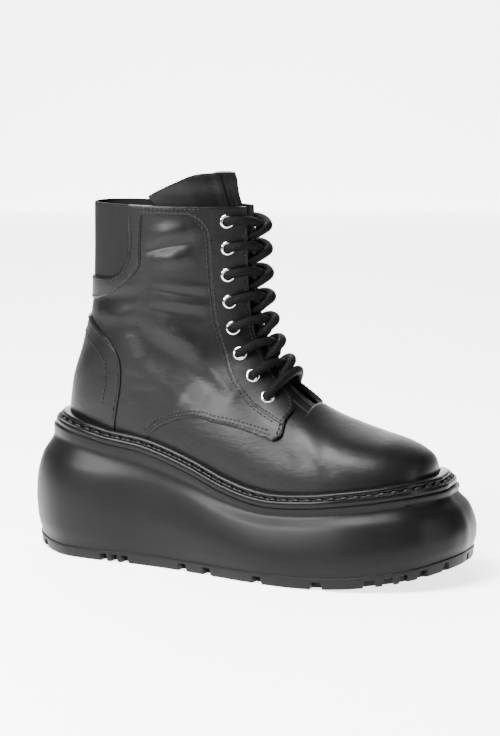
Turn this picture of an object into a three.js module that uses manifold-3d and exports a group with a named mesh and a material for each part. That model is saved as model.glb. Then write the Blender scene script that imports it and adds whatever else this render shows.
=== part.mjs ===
// Right-foot platform lace-up boot: a hollow leather upper on a thick sculpted platform.
// Millimetres. +X runs to the toe, +Y to the wearer's left (the inner side), +Z up.
// The origin is on the floor under the middle of the sole.
import * as THREE from 'three';
import { mergeVertices } from 'three/addons/utils/BufferGeometryUtils.js';
import Module from 'manifold-3d';

const wasm = await Module();
wasm.setup();
const { Manifold, Mesh: SolidMesh } = wasm;

// ---------------------------------------------------------------- driving dimensions
const UPPER_LENGTH = 257;        // heel to toe of the upper
const BALL_WIDTH = 92;           // the upper across the ball of the foot
const INSTEP_RISE = 60;          // top of the instep above the footbed
const HEEL_HEIGHT = 84.5;        // footbed above the floor at the heel
const BALL_HEIGHT = 48;          // footbed above the floor at the ball
const COLLAR_HEIGHT = 231;       // top edge of the shaft
const WALL = 2;                  // leather and lining together
const GAP = 0.3;                 // clearance between pieces that touch on the real boot
const WELT_HEIGHT = 8;
const TREAD_HEIGHT = 7.5;        // outsole rubber under the platform
const NOTCH_DEPTH = 4.6;         // how far the lug notches reach up the outsole edge
const INSOLE_THICKNESS = 3;
const TONGUE_THICKNESS = 2.4;
const TONGUE_TOP = 252;
const TONGUE_HALF_WIDTH = 21;
const TONGUE_LEAN = 13;          // how far the free tongue top falls back into the shaft
const TONGUE_LEAN_FROM = 190;    // height where it starts to fall back
const THROAT_HALF_WIDTH = 8;     // half the slot between the facings
const COUNTER_THICKNESS = 1.3;   // heel counter laid over the quarters
const EYELET_ROWS = 8;
const EYELET_PITCH = 17;
const EYELET_FROM_TOP = 9;       // first eyelet below the collar edge
const EYELET_TOP = 1.4;          // the flange's face above the leather
const EYELET_HOLE = 2.6;         // radii of one eyelet
const EYELET_BARREL = 3.1;
const EYELET_FLANGE = 4.7;
const EYELET_CHAMFER = 0.8;
const EYELET_SIDES = 8;
const LACE_RADIUS = 2.5;
const LACE_SIDES = 6;
const LACE_STEPS = 4;
const LACE_START = 16.4;         // a strand starts beside its eyelet's flange
const LACE_END = 4.5;            // and ends in the throat, short of the far facing
const LACE_OVER = 3.2;           // its middle above the facing and above the throat
const LACE_UNDER = 0.3;
const ZIP_HALF_WIDTH = 3;
const ZIP_THICKNESS = 1.1;
const SLIDER_WIDTH = 6.2;
const SLIDER_HEIGHT = 11;
const SLIDER_DEPTH = 2;
const SLIDER_DROP = 2.5;           // the slider's middle lies this far below the pin
const SLIDER_BELOW_PIN = 3.6;      // from the pin in to the slider's middle
const CHEEK_OVER_PIN = 1;
const CHEEK_THICKNESS = 1;
const CHEEK_HEIGHT = 2.6;
const PULL_WIDTH = 5.2;
const PULL_THICKNESS = 1.2;
const PULL_LENGTH = 19;
const PULL_EYE_RADIUS = 1.9;
const PULL_EYE_WIDTH = 3.4;
const NECK_INSET = 0.3;            // the neck starts this far outside the eye's hole
const NECK_LENGTH = 0.7;
const PIN_RADIUS = 0.7;
const PIN_PLAY = 0.4;
const PIN = { x: -42, y: 27.2, z: 226.5 };   // middle of the slider's cross pin

// ---------------------------------------------------------------- tables
// Footbed: at = share of the upper's length from the heel, lift = share of the drop
// from heel to ball.
const FOOTBED = [
  { at: -0.10, lift: 1.02 },
  { at: 0.00, lift: 1.00 },
  { at: 0.08, lift: 0.92 },
  { at: 0.17, lift: 0.80 },
  { at: 0.29, lift: 0.69 },
  { at: 0.41, lift: 0.45 },
  { at: 0.53, lift: 0.14 },
  { at: 0.63, lift: 0.00 },
  { at: 0.74, lift: 0.03 },
  { at: 0.83, lift: 0.11 },
  { at: 0.91, lift: 0.19 },
  { at: 0.97, lift: 0.26 },
  { at: 1.02, lift: 0.30 },
  { at: 1.10, lift: 0.34 },
];

// Sections of the last, fanned from the toe over the instep to the collar.
// top = along the front profile, keel = along the underside and then up the back:
// each is a share of the length and a rise above the footbed in instep rises.
// swing is how far the middle lies to the inner side, outer and inner are the half
// widths from there, all in ball widths; widest is where they lie from top to
// keel; crown and base are the superellipse powers of the upper and lower half.
const LAST = [
  { name: 'toe tip', top: [1.000, 0.15], keel: [1.000, 0.15], swing: 0.045, outer: 0, inner: 0, widest: 0.5, crown: 2, base: 2 },
  { name: 'toe end', top: [0.990, 0.33], keel: [0.990, -0.06], swing: 0.045, outer: 0.165, inner: 0.165, widest: 0.54, crown: 2.1, base: 2.2 },
  { name: 'toe box', top: [0.963, 0.43], keel: [0.963, -0.20], swing: 0.045, outer: 0.285, inner: 0.285, widest: 0.58, crown: 2.2, base: 2.4 },
  { name: 'toes', top: [0.912, 0.55], keel: [0.916, -0.27], swing: 0.045, outer: 0.385, inner: 0.380, widest: 0.60, crown: 2.2, base: 2.6 },
  { name: 'toe roots', top: [0.850, 0.65], keel: [0.850, -0.30], swing: 0.040, outer: 0.447, inner: 0.440, widest: 0.61, crown: 2.2, base: 2.6 },
  { name: 'ball', top: [0.780, 0.78], keel: [0.768, -0.31], swing: 0.035, outer: 0.482, inner: 0.463, widest: 0.62, crown: 2.1, base: 2.6 },
  { name: 'joint', top: [0.715, 0.92], keel: [0.670, -0.32], swing: 0.025, outer: 0.486, inner: 0.452, widest: 0.62, crown: 2.0, base: 2.6 },
  { name: 'waist', top: [0.658, 1.09], keel: [0.560, -0.32], swing: 0.015, outer: 0.468, inner: 0.415, widest: 0.62, crown: 1.9, base: 2.6 },
  { name: 'throat', top: [0.612, 1.26], keel: [0.425, -0.34], swing: 0.005, outer: 0.440, inner: 0.375, widest: 0.62, crown: 1.80, base: 2.5 },
  { name: 'instep', top: [0.578, 1.46], keel: [0.265, -0.34], swing: 0, outer: 0.405, inner: 0.340, widest: 0.62, crown: 1.75, base: 2.4 },
  { name: 'ankle bend', top: [0.555, 1.67], keel: [0.113, -0.34], swing: 0, outer: 0.378, inner: 0.320, widest: 0.62, crown: 1.7, base: 2.3 },
  { name: 'heel seat', top: [0.541, 1.90], keel: [0.015, -0.10], swing: 0, outer: 0.364, inner: 0.310, widest: 0.60, crown: 1.7, base: 2.2 },
  { name: 'heel back', top: [0.533, 2.12], keel: [0.012, 0.40], swing: 0, outer: 0.352, inner: 0.290, widest: 0.56, crown: 1.7, base: 2.2 },
  { name: 'ankle', top: [0.529, 2.35], keel: [0.043, 0.87], swing: 0, outer: 0.340, inner: 0.262, widest: 0.53, crown: 1.7, base: 2.2 },
  { name: 'lower shaft', top: [0.527, 2.58], keel: [0.068, 1.33], swing: 0, outer: 0.333, inner: 0.240, widest: 0.51, crown: 1.7, base: 2.3 },
  { name: 'shaft', top: [0.525, 2.82], keel: [0.075, 1.84], swing: 0, outer: 0.330, inner: 0.230, widest: 0.50, crown: 1.7, base: 2.4 },
  { name: 'collar', top: [0.523, 3.08], keel: [0.0765, 2.37], swing: 0, outer: 0.330, inner: 0.228, widest: 0.50, crown: 1.7, base: 2.4 },
  { name: 'above collar', top: [0.523, 3.50], keel: [0.0765, 2.92], swing: 0, outer: 0.330, inner: 0.228, widest: 0.50, crown: 1.7, base: 2.4 },
];

// Plan outline of the welt's outer edge, from the toe to the heel, in millimetres.
const WELT_OUTLINE = [
  { x: 134.5, outer: -4, inner: 4 },
  { x: 131, outer: 14.5, inner: 23.5 },
  { x: 121, outer: 29, inner: 37 },
  { x: 106, outer: 38, inner: 45 },
  { x: 86, outer: 44.5, inner: 49.5 },
  { x: 62, outer: 47, inner: 49.5 },
  { x: 36, outer: 46.5, inner: 46 },
  { x: 8, outer: 44, inner: 40 },
  { x: -22, outer: 41, inner: 35 },
  { x: -54, outer: 38.5, inner: 33 },
  { x: -84, outer: 37.5, inner: 33.5 },
  { x: -108, outer: 34, inner: 31.5 },
  { x: -124, outer: 24, inner: 22.5 },
  { x: -131, outer: 12, inner: 11 },
  { x: -132.5, outer: 0, inner: 0 },
];

// How far the platform wall stands out from the welt, from its foot to its top ledge:
// height = share of the wall; the other columns are places round the boot.
const PLATFORM_WALL = [
  { height: 0.00, toe: 15.5, ball: 12.2, waist: 7.0, heelOuter: 9.0, heelInner: 3.0, back: 15.5 },
  { height: 0.14, toe: 17.2, ball: 12.8, waist: 8.3, heelOuter: 11.8, heelInner: 7.6, back: 17.7 },
  { height: 0.34, toe: 17.4, ball: 12.1, waist: 8.7, heelOuter: 12.9, heelInner: 11.5, back: 18.6 },
  { height: 0.54, toe: 15.4, ball: 10.2, waist: 7.4, heelOuter: 12.3, heelInner: 12.4, back: 17.4 },
  { height: 0.72, toe: 11.9, ball: 7.7, waist: 5.4, heelOuter: 9.8, heelInner: 10.4, back: 13.6 },
  { height: 0.88, toe: 5.6, ball: 3.8, waist: 3.4, heelOuter: 4.8, heelInner: 5.0, back: 6.4 },
  { height: 0.94, toe: 6.0, ball: 4.6, waist: 4.2, heelOuter: 4.8, heelInner: 4.8, back: 6.0 },
  { height: 1.10, toe: 6.0, ball: 4.6, waist: 4.2, heelOuter: 4.8, heelInner: 4.8, back: 6.0 },
];

// Floor side of the outsole: flat in the middle, rolling up at heel and toe.
const ROCKER = [
  { x: -170, lift: 9 },
  { x: -150, lift: 5.5 },
  { x: -132, lift: 2 },
  { x: -112, lift: 0 },
  { x: 56, lift: 0 },
  { x: 80, lift: 1 },
  { x: 105, lift: 3.5 },
  { x: 130, lift: 8 },
  { x: 170, lift: 18 },
];

// Notches between the lugs, by their distance from the toe tip along the foot of the
// wall; width is along the edge and reach is how far they run in under the sole.
const NOTCHES = [
  { side: 'outer', at: 13, width: 4, reach: 10 },
  { side: 'outer', at: 31, width: 6.5, reach: 10 },
  { side: 'outer', at: 44, width: 4.5, reach: 10 },
  { side: 'outer', at: 54, width: 6, reach: 10 },
  { side: 'outer', at: 66, width: 7, reach: 10 },
  { side: 'outer', at: 101, width: 7.5, reach: 15 },
  { side: 'outer', at: 143, width: 6.5, reach: 15 },
  { side: 'outer', at: 183, width: 6, reach: 15 },
  { side: 'outer', at: 203, width: 6, reach: 15 },
  { side: 'outer', at: 248, width: 5, reach: 10 },
  { side: 'outer', at: 256, width: 4.5, reach: 10 },
  { side: 'outer', at: 264, width: 4.5, reach: 10 },
  { side: 'outer', at: 319, width: 4.5, reach: 8 },
  { side: 'outer', at: 334, width: 3.5, reach: 8 },
  { side: 'outer', at: 345, width: 3, reach: 8 },
  { side: 'inner', at: 13, width: 4, reach: 10 },
  { side: 'inner', at: 31, width: 6.5, reach: 10 },
  { side: 'inner', at: 44, width: 4.5, reach: 10 },
  { side: 'inner', at: 54, width: 6, reach: 10 },
  { side: 'inner', at: 66, width: 7, reach: 10 },
  { side: 'inner', at: 99, width: 7.5, reach: 15 },
  { side: 'inner', at: 141, width: 6.5, reach: 15 },
  { side: 'inner', at: 181, width: 6, reach: 15 },
  { side: 'inner', at: 201, width: 6, reach: 15 },
  { side: 'inner', at: 246, width: 5, reach: 10 },
  { side: 'inner', at: 254, width: 4.5, reach: 10 },
  { side: 'inner', at: 262, width: 4.5, reach: 10 },
  { side: 'inner', at: 317, width: 4.5, reach: 8 },
  { side: 'inner', at: 332, width: 3.5, reach: 8 },
  { side: 'inner', at: 343, width: 3, reach: 8 },
];

// Distance of each eyelet from the front centre line, measured over the facing.
const EYELET_FROM_CENTRE = [22.5, 22.5, 23, 23.5, 24, 24.2, 24.2, 26];

// Lines drawn in the side view, each point [x, z].
const THROAT_SLOT = [[46, 112], [34, 98], [8, 118], [-16, 150], [-22, 260], [60, 260], [60, 125]];
const TONGUE_SIDE = [
  [52, 80], [25, 100], [0, 140], [-22, 185], [-42, 215], [-46, 238], [-30, 244], [-10, TONGUE_TOP],
  [60, TONGUE_TOP], [60, 100],
];
const GORE_EDGE = [
  [-71, 240], [-71, 222], [-71, 205], [-73, 196], [-76.5, 189], [-82, 184.5], [-94, 183], [-150, 183],
];
const COUNTER_EDGE = [
  [-150, 157], [-112, 156.5], [-104, 154], [-95, 148.5], [-85, 142], [-78, 133.5], [-75.5, 124], [-76, 112],
  [-78.5, 98], [-80.5, 86], [-81.5, 60],
];
const ZIP_LINE = [
  [-42, 236], [-40, 202], [-36.5, 168], [-33.5, 140], [-35.5, 124], [-43, 109], [-47, 97], [-46, 80],
];

// ---------------------------------------------------------------- small helpers
const lerp = (a, b, k) => a + (b - a) * k;

// Catmull-Rom through a column of a table, with a ghost value past each end.
function curve(values, t, ghostStart, ghostEnd) {
  const n = values.length - 1;
  const i = Math.min(Math.floor(t), n - 1);
  const k = t - i;
  const a = i > 0 ? values[i - 1] : ghostStart;
  const b = values[i];
  const c = values[i + 1];
  const d = i + 2 <= n ? values[i + 2] : ghostEnd;
  return b + 0.5 * k * (c - a + k * (2 * a - 5 * b + 4 * c - d + k * (3 * (b - c) + d - a)));
}

function smoothColumn(rows, key, x, value) {
  const last = rows.length - 2;
  let i = 0;
  while (i < last && x > rows[i + 1][key]) i += 1;
  const k = THREE.MathUtils.clamp((x - rows[i][key]) / (rows[i + 1][key] - rows[i][key]), 0, 1);
  const values = rows.map((row) => row[value]);
  return curve(values, i + k, values[0], values[values.length - 1]);
}

const xAt = (share) => (share - 0.5) * UPPER_LENGTH;
const footbed = (x) => BALL_HEIGHT
  + (HEEL_HEIGHT - BALL_HEIGHT) * smoothColumn(FOOTBED, 'at', x / UPPER_LENGTH + 0.5, 'lift');
const rocker = (x) => Math.max(0, smoothColumn(ROCKER, 'x', x, 'lift'));   // never below the floor
const parting = (x) => TREAD_HEIGHT + rocker(x);

// ---------------------------------------------------------------- solids
function solidFrom(geometry) {
  const bare = geometry.clone();
  bare.deleteAttribute('normal');
  bare.deleteAttribute('uv');
  const merged = mergeVertices(bare, 1e-4);
  return new Manifold(new SolidMesh({
    numProp: 3,
    vertProperties: new Float32Array(merged.attributes.position.array),
    triVerts: new Uint32Array(merged.index.array),
  }));
}

function geometryFrom(solid) {
  const mesh = solid.getMesh();
  const geometry = new THREE.BufferGeometry();
  geometry.setAttribute('position', new THREE.BufferAttribute(new Float32Array(mesh.vertProperties), 3));
  geometry.setIndex(new THREE.BufferAttribute(new Uint32Array(mesh.triVerts), 1));
  return geometry;
}

function indexedGeometry(points, faces) {
  const geometry = new THREE.BufferGeometry();
  geometry.setAttribute('position', new THREE.Float32BufferAttribute(points.flat(), 3));
  geometry.setIndex(faces.flat());
  return geometry;
}

// A closed skin over rings of equal length, with a cap at both ends.
function ringSkin(rings) {
  const around = rings[0].length;
  const points = rings.flat();
  const faces = [];
  for (let r = 0; r < rings.length - 1; r += 1) {
    for (let j = 0; j < around; j += 1) {
      const a = r * around + j;
      const b = r * around + (j + 1) % around;
      faces.push([a, b, b + around], [a, b + around, a + around]);
    }
  }
  const lastRing = (rings.length - 1) * around;
  for (let j = 1; j < around - 1; j += 1) {
    faces.push([0, j + 1, j], [lastRing, lastRing + j, lastRing + j + 1]);
  }
  return indexedGeometry(points, faces);
}

const WAVE_STEP = 15;

// A slab across the boot whose underside and top follow two functions of x.
function waveSlab(lower, upper, from = -170, to = 170, halfWidth = 90) {
  const steps = Math.round((to - from) / WAVE_STEP);
  const shape = new THREE.Shape();
  for (let i = 0; i <= steps; i += 1) {
    const x = lerp(from, to, i / steps);
    if (i === 0) shape.moveTo(x, lower(x));
    else shape.lineTo(x, lower(x));
  }
  for (let i = steps; i >= 0; i -= 1) {
    const x = lerp(from, to, i / steps);
    shape.lineTo(x, upper(x));
  }
  return sidePrism(shape, -halfWidth, halfWidth);
}

// A shape drawn in the side view (x, z), extruded across the boot from y0 to y1.
function sidePrism(shape, y0, y1) {
  const geometry = new THREE.ExtrudeGeometry(shape, { depth: y1 - y0, bevelEnabled: false, curveSegments: 6 });
  geometry.rotateX(Math.PI / 2);
  geometry.translate(0, y1, 0);
  return solidFrom(geometry);
}

function sideShape(points) {
  return new THREE.Shape(points.map(([x, z]) => new THREE.Vector2(x, z)));
}

function sideSpline(points, divisions = 14) {
  const line = new THREE.SplineCurve(points.map(([x, z]) => new THREE.Vector2(x, z)));
  return line.getPoints(divisions).map((p) => [p.x, p.y]);
}

// ---------------------------------------------------------------- the last
const lastColumn = (pick) => LAST.map(pick);
const COLUMNS = {
  topX: lastColumn((r) => xAt(r.top[0])),
  topZ: lastColumn((r) => footbed(xAt(r.top[0])) + r.top[1] * INSTEP_RISE),
  keelX: lastColumn((r) => xAt(r.keel[0])),
  keelZ: lastColumn((r) => footbed(xAt(r.keel[0])) + r.keel[1] * INSTEP_RISE),
  swing: lastColumn((r) => r.swing * BALL_WIDTH),
  outer: lastColumn((r) => r.outer * BALL_WIDTH),
  inner: lastColumn((r) => r.inner * BALL_WIDTH),
  widest: lastColumn((r) => r.widest),
  crown: lastColumn((r) => r.crown),
  base: lastColumn((r) => r.base),
};
const STATIONS = LAST.length - 1;
const SIDE_REACH = 60;             // a side cutter goes this far, past the widest place
const BEHIND = -150;               // x of a place well behind the heel
const LAST_SIDES = 22;
const LAST_RINGS = 24;
const RING_CROWDING = 1.1;         // above 1 the rings lie closer together at the toe

function lastSection(t) {
  const at = (name, ghostStart) => {
    const column = COLUMNS[name];
    return curve(column, t, ghostStart ?? column[1], column[STATIONS]);
  };
  return {
    topX: at('topX', COLUMNS.keelX[1]),
    topZ: at('topZ', COLUMNS.keelZ[1]),
    keelX: at('keelX', COLUMNS.topX[1]),
    keelZ: at('keelZ', COLUMNS.topZ[1]),
    swing: at('swing'),
    outer: at('outer', -COLUMNS.outer[1]),
    inner: at('inner', -COLUMNS.inner[1]),
    widest: at('widest'),
    crown: at('crown'),
    base: at('base'),
  };
}

// Point on the last: t runs over the sections, turn goes once round each of them,
// from the top over the outer side to the keel and back over the inner side.
function lastPoint(t, turn) {
  const s = lastSection(t);
  const c = Math.cos(turn);
  const across = Math.abs(Math.sin(turn));
  const power = c > 0 ? s.crown : s.base;
  const reach = Math.abs(c) ** (2 / power);
  const down = c > 0 ? s.widest * (1 - reach) : s.widest + (1 - s.widest) * reach;
  const width = across ** (2 / power);
  const y = s.swing + (Math.sin(turn) > 0 ? -s.outer * width : s.inner * width);
  return new THREE.Vector3(lerp(s.topX, s.keelX, down), y, lerp(s.topZ, s.keelZ, down));
}

function lastNormal(t, turn) {
  const step = 0.02;
  const t0 = Math.max(t - step, 0.02);
  const t1 = Math.min(t + step, STATIONS);
  const alongT = lastPoint(t1, turn).sub(lastPoint(t0, turn));
  const around = lastPoint(Math.max(t, 0.02), turn + step).sub(lastPoint(Math.max(t, 0.02), turn - step));
  return alongT.cross(around).normalize();
}

function grownPoint(t, turn, grow) {
  if (t < 0.001) return new THREE.Vector3(xAt(1) + grow, COLUMNS.swing[0], COLUMNS.topZ[0]);
  return lastPoint(t, turn).addScaledVector(lastNormal(t, turn), grow);
}

// The last as a closed solid, grown by a thickness (negative shrinks it). lean moves
// a point back by a distance that depends on its height.
function lastSolid(grow, lean = () => 0) {
  const around = LAST_SIDES;
  const points = [grownPoint(0, 0, grow).toArray()];
  for (let i = 1; i <= LAST_RINGS; i += 1) {
    for (let j = 0; j < around; j += 1) {
      const p = grownPoint(STATIONS * (i / LAST_RINGS) ** RING_CROWDING, (2 * Math.PI * j) / around, grow);
      points.push([p.x - lean(p.z), p.y, p.z]);
    }
  }
  const faces = [];
  for (let j = 0; j < around; j += 1) {
    const next = (j + 1) % around;
    faces.push([0, 1 + j, 1 + next]);
    for (let r = 0; r < LAST_RINGS - 1; r += 1) {
      const a = 1 + r * around + j;
      const b = 1 + r * around + next;
      faces.push([a, b + around, b], [a, a + around, b + around]);
    }
  }
  const rim = 1 + (LAST_RINGS - 1) * around;
  for (let j = 1; j < around - 1; j += 1) faces.push([rim, rim + j + 1, rim + j]);
  return solidFrom(indexedGeometry(points, faces));
}

// ---------------------------------------------------------------- sole outline
function outlinePoint(t, side) {
  const x = curve(WELT_OUTLINE.map((r) => r.x), t, WELT_OUTLINE[1].x, WELT_OUTLINE[WELT_OUTLINE.length - 2].x);
  const widths = WELT_OUTLINE.map((r) => r[side]);
  const other = WELT_OUTLINE.map((r) => r[side === 'outer' ? 'inner' : 'outer']);
  const y = curve(widths, t, -other[1], -other[other.length - 2]);
  return new THREE.Vector2(x, side === 'outer' ? -y : y);
}

// The welt's plan outline as one loop of points with their outward normals.
function outlineLoop(perRow = 2) {
  const last = WELT_OUTLINE.length - 1;
  const loop = [];
  for (let i = 0; i <= last * perRow; i += 1) loop.push(outlinePoint(i / perRow, 'inner'));
  for (let i = last * perRow - 1; i > 0; i -= 1) loop.push(outlinePoint(i / perRow, 'outer'));
  return loop.map((p, i) => {
    const before = loop[(i + loop.length - 1) % loop.length];
    const after = loop[(i + 1) % loop.length];
    const along = after.clone().sub(before).normalize();
    return { p, normal: new THREE.Vector2(along.y, -along.x) };
  });
}

const OUTLINE = outlineLoop();

// How far the wall stands out at one place on the outline.
function wallOut(row, p, normal) {
  const forward = THREE.MathUtils.smoothstep(p.x, -40, 50);
  const rear = 1 - THREE.MathUtils.smoothstep(p.x, -105, -40);
  const heel = p.y > 0 ? row.heelInner : row.heelOuter;
  const flank = row.waist + (row.ball - row.waist) * forward + (heel - row.waist) * rear;
  const end = Math.abs(normal.x) ** 1.3;
  return lerp(flank, normal.x > 0 ? row.toe : row.back, end);
}

// ---------------------------------------------------------------- sole pieces
const above = (fn, rise) => (x) => fn(x) + rise;

function wallRing(row, heightAt, trim = 0) {
  return OUTLINE.map(({ p, normal }) => {
    const out = wallOut(row, p, normal) - trim;
    const x = p.x + normal.x * out;
    return [x, p.y + normal.y * out, heightAt(x)];
  });
}

function makePlatform() {
  const foot = wallRing(PLATFORM_WALL[0], above(parting, -6));
  const wall = PLATFORM_WALL.map((row) => wallRing(row, (x) => lerp(parting(x), footbed(x), row.height)));
  return solidFrom(ringSkin([foot, ...wall])).intersect(waveSlab(parting, footbed));
}

// Points along the foot of the wall, by distance from the toe, to place the notches.
function footPath(side) {
  const row = PLATFORM_WALL[0];
  const half = OUTLINE.length / 2;
  const path = [];
  for (let i = 0; i <= half; i += 1) {
    const { p, normal } = OUTLINE[side === 'inner' ? i : (OUTLINE.length - i) % OUTLINE.length];
    const out = wallOut(row, p, normal);
    path.push(new THREE.Vector3(p.x + normal.x * out, p.y + normal.y * out, 0));
  }
  return new THREE.CatmullRomCurve3(path);
}

function notchCutter({ side, at, width, reach }) {
  const path = footPath(side);
  const place = path.getPointAt(at / path.getLength());
  const along = path.getTangentAt(at / path.getLength());
  const box = new THREE.BoxGeometry(width, 2 * reach, NOTCH_DEPTH + 10);
  box.rotateZ(Math.atan2(along.y, along.x));
  box.translate(place.x, place.y, rocker(place.x) + NOTCH_DEPTH / 2 - 5);
  return solidFrom(box);
}

function makeOutsole() {
  const ring = (z) => wallRing(PLATFORM_WALL[0], () => z, 0.4);
  const body = solidFrom(ringSkin([ring(-6), ring(40)]));
  let sole = body.intersect(waveSlab(rocker, above(parting, -GAP)));
  for (const notch of NOTCHES) sole = sole.subtract(notchCutter(notch));
  return sole;
}

function makeWelt(upperRoom) {
  const ring = (z) => OUTLINE.map(({ p }) => [p.x, p.y, z]);
  const body = solidFrom(ringSkin([ring(20), ring(120)]));
  const strip = body.intersect(waveSlab(above(footbed, GAP), above(footbed, WELT_HEIGHT)));
  return strip.subtract(upperRoom);
}

// ---------------------------------------------------------------- upper pieces
function makeUpper(outer, inner, eyelets) {
  const shell = outer.subtract(inner);
  let upper = shell.intersect(waveSlab(above(footbed, GAP), () => COLLAR_HEIGHT));
  upper = upper.subtract(sidePrism(sideShape(THROAT_SLOT), -THROAT_HALF_WIDTH, THROAT_HALF_WIDTH));
  upper = upper.subtract(sidePrism(sideShape(sideSpline(GORE_EDGE).concat([[BEHIND, TONGUE_TOP]])), -SIDE_REACH, SIDE_REACH));
  for (const eyelet of eyelets) upper = upper.subtract(eyelet.hole);
  return upper;
}

function makeGore(outer, inner) {
  const edge = sideSpline(GORE_EDGE).map(([x, z]) => [x - GAP, z + GAP]);
  const shape = sideShape(edge.concat([[BEHIND, TONGUE_TOP]]));
  const shell = outer.subtract(inner).intersect(sidePrism(shape, -SIDE_REACH, SIDE_REACH));
  return shell.intersect(waveSlab(above(footbed, GAP), () => COLLAR_HEIGHT));
}

function makeCounter() {
  const skin = lastSolid(GAP + COUNTER_THICKNESS).subtract(lastSolid(GAP));
  const shape = sideShape(sideSpline(COUNTER_EDGE).concat([[BEHIND, 60]]));
  const overWelt = waveSlab(above(footbed, WELT_HEIGHT + GAP), () => COLLAR_HEIGHT);
  return skin.intersect(sidePrism(shape, -SIDE_REACH, SIDE_REACH)).intersect(overWelt);
}

function makeInsole() {
  const room = lastSolid(-WALL - GAP);
  return room.intersect(waveSlab(above(footbed, GAP), above(footbed, GAP + INSOLE_THICKNESS)));
}

// The free top of the tongue falls back into the shaft.
function tongueLean(z) {
  const free = Math.max(z - TONGUE_LEAN_FROM, 0) / (TONGUE_TOP - TONGUE_LEAN_FROM);
  return TONGUE_LEAN * free * free;
}

function makeTongue() {
  const play = WALL + 2 * GAP;
  const sheet = lastSolid(-play, tongueLean).subtract(lastSolid(-play - TONGUE_THICKNESS, tongueLean));
  return sheet.intersect(sidePrism(sideShape(TONGUE_SIDE), -TONGUE_HALF_WIDTH, TONGUE_HALF_WIDTH));
}

// ---------------------------------------------------------------- facings
const FINE_STEP = 0.01;            // in sections or radians, to walk along the last

// A place on the facing: a distance round the section from the front centre line.
function facingPlace(t, side, distance) {
  const sign = side === 'outer' ? 1 : -1;
  let turn = 0;
  let before = lastPoint(t, 0);
  for (let run = 0; run < distance;) {
    turn += FINE_STEP;
    const now = lastPoint(t, sign * turn);
    run += now.distanceTo(before);
    before = now;
  }
  return { t, turn: sign * turn, point: before };
}

// The eyelets of one side, an even pitch apart down the facing.
function eyeletPlaces(side) {
  let t = STATIONS - 1;
  while (facingPlace(t, side, EYELET_FROM_CENTRE[0]).point.z > COLLAR_HEIGHT - EYELET_FROM_TOP) t -= FINE_STEP;
  const places = [facingPlace(t, side, EYELET_FROM_CENTRE[0])];
  while (places.length < EYELET_ROWS) {
    const before = places[places.length - 1].point;
    let next = places[places.length - 1];
    while (next.point.distanceTo(before) < EYELET_PITCH) {
      t -= FINE_STEP;
      next = facingPlace(t, side, EYELET_FROM_CENTRE[places.length]);
    }
    places.push(next);
  }
  return places;
}

// Turns a geometry made along +Y to stand along the last's normal at a place.
function standOnLast(geometry, place, lift) {
  const normal = lastNormal(place.t, place.turn);
  const turn = new THREE.Quaternion().setFromUnitVectors(new THREE.Vector3(0, 1, 0), normal);
  geometry.applyQuaternion(turn);
  const at = place.point.clone().addScaledVector(normal, lift);
  geometry.translate(at.x, at.y, at.z);
  return geometry;
}

function makeEyelet(name, place) {
  const barrelEnd = -WALL - 0.1;
  const flangeFoot = GAP + 0.1;
  const room = EYELET_BARREL + 0.5;
  const profile = [
    [EYELET_HOLE, barrelEnd], [EYELET_BARREL, barrelEnd], [EYELET_BARREL, flangeFoot],
    [EYELET_FLANGE, flangeFoot], [EYELET_FLANGE - EYELET_CHAMFER, EYELET_TOP], [EYELET_HOLE, EYELET_TOP],
    [EYELET_HOLE, barrelEnd],
  ].map(([r, h]) => new THREE.Vector2(r, h));
  const ring = standOnLast(new THREE.LatheGeometry(profile, EYELET_SIDES), place, 0);
  const clear = new THREE.CylinderGeometry(room, room, 6 * WALL, EYELET_SIDES);
  return {
    name,
    solid: solidFrom(ring),
    hole: solidFrom(standOnLast(clear, place, 0)),
  };
}

// ---------------------------------------------------------------- lace
function laceTube(points) {
  const path = new THREE.CatmullRomCurve3(points);
  const section = new THREE.Shape();
  for (let i = 0; i < LACE_SIDES; i += 1) {
    const a = (2 * Math.PI * i) / LACE_SIDES;
    const x = LACE_RADIUS * Math.cos(a);
    const y = LACE_RADIUS * Math.sin(a);
    if (i === 0) section.moveTo(x, y);
    else section.lineTo(x, y);
  }
  return solidFrom(new THREE.ExtrudeGeometry(section, { steps: LACE_STEPS, bevelEnabled: false, extrudePath: path }));
}

function liftedPoint(t, side, distance, lift) {
  const place = facingPlace(t, side, distance);
  return place.point.addScaledVector(lastNormal(place.t, place.turn), lift);
}

// One strand: out of an eyelet, over its facing and down into the throat on the far side.
function laceStrand(side, t0, t1) {
  const far = side === 'outer' ? 'inner' : 'outer';
  return laceTube([
    liftedPoint(t0, side, LACE_START, LACE_OVER),
    liftedPoint(lerp(t0, t1, 0.12), side, THROAT_HALF_WIDTH + 1, LACE_OVER),
    liftedPoint(lerp(t0, t1, 0.42), side, 0.5, LACE_OVER - 0.4),
    liftedPoint(lerp(t0, t1, 0.70), far, LACE_END, LACE_UNDER),
  ]);
}

function makeCrossing(row) {
  const over = laceStrand('inner', innerPlaces[row].t, innerPlaces[row + 1].t);
  return laceStrand('outer', outerPlaces[row].t, outerPlaces[row + 1].t).add(over);
}

function makeBar() {
  const outer = outerPlaces[EYELET_ROWS - 1].t;
  const inner = innerPlaces[EYELET_ROWS - 1].t;
  const sag = 0.08;
  return laceTube([
    liftedPoint(outer, 'outer', LACE_START, LACE_OVER),
    liftedPoint(outer - sag, 'outer', THROAT_HALF_WIDTH, LACE_OVER + 0.4),
    liftedPoint(lerp(outer, inner, 0.5) - sag, 'outer', 0.1, LACE_OVER + 0.8),
    liftedPoint(inner - sag, 'inner', THROAT_HALF_WIDTH, LACE_OVER + 0.4),
    liftedPoint(inner, 'inner', LACE_START, LACE_OVER),
  ]);
}

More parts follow.
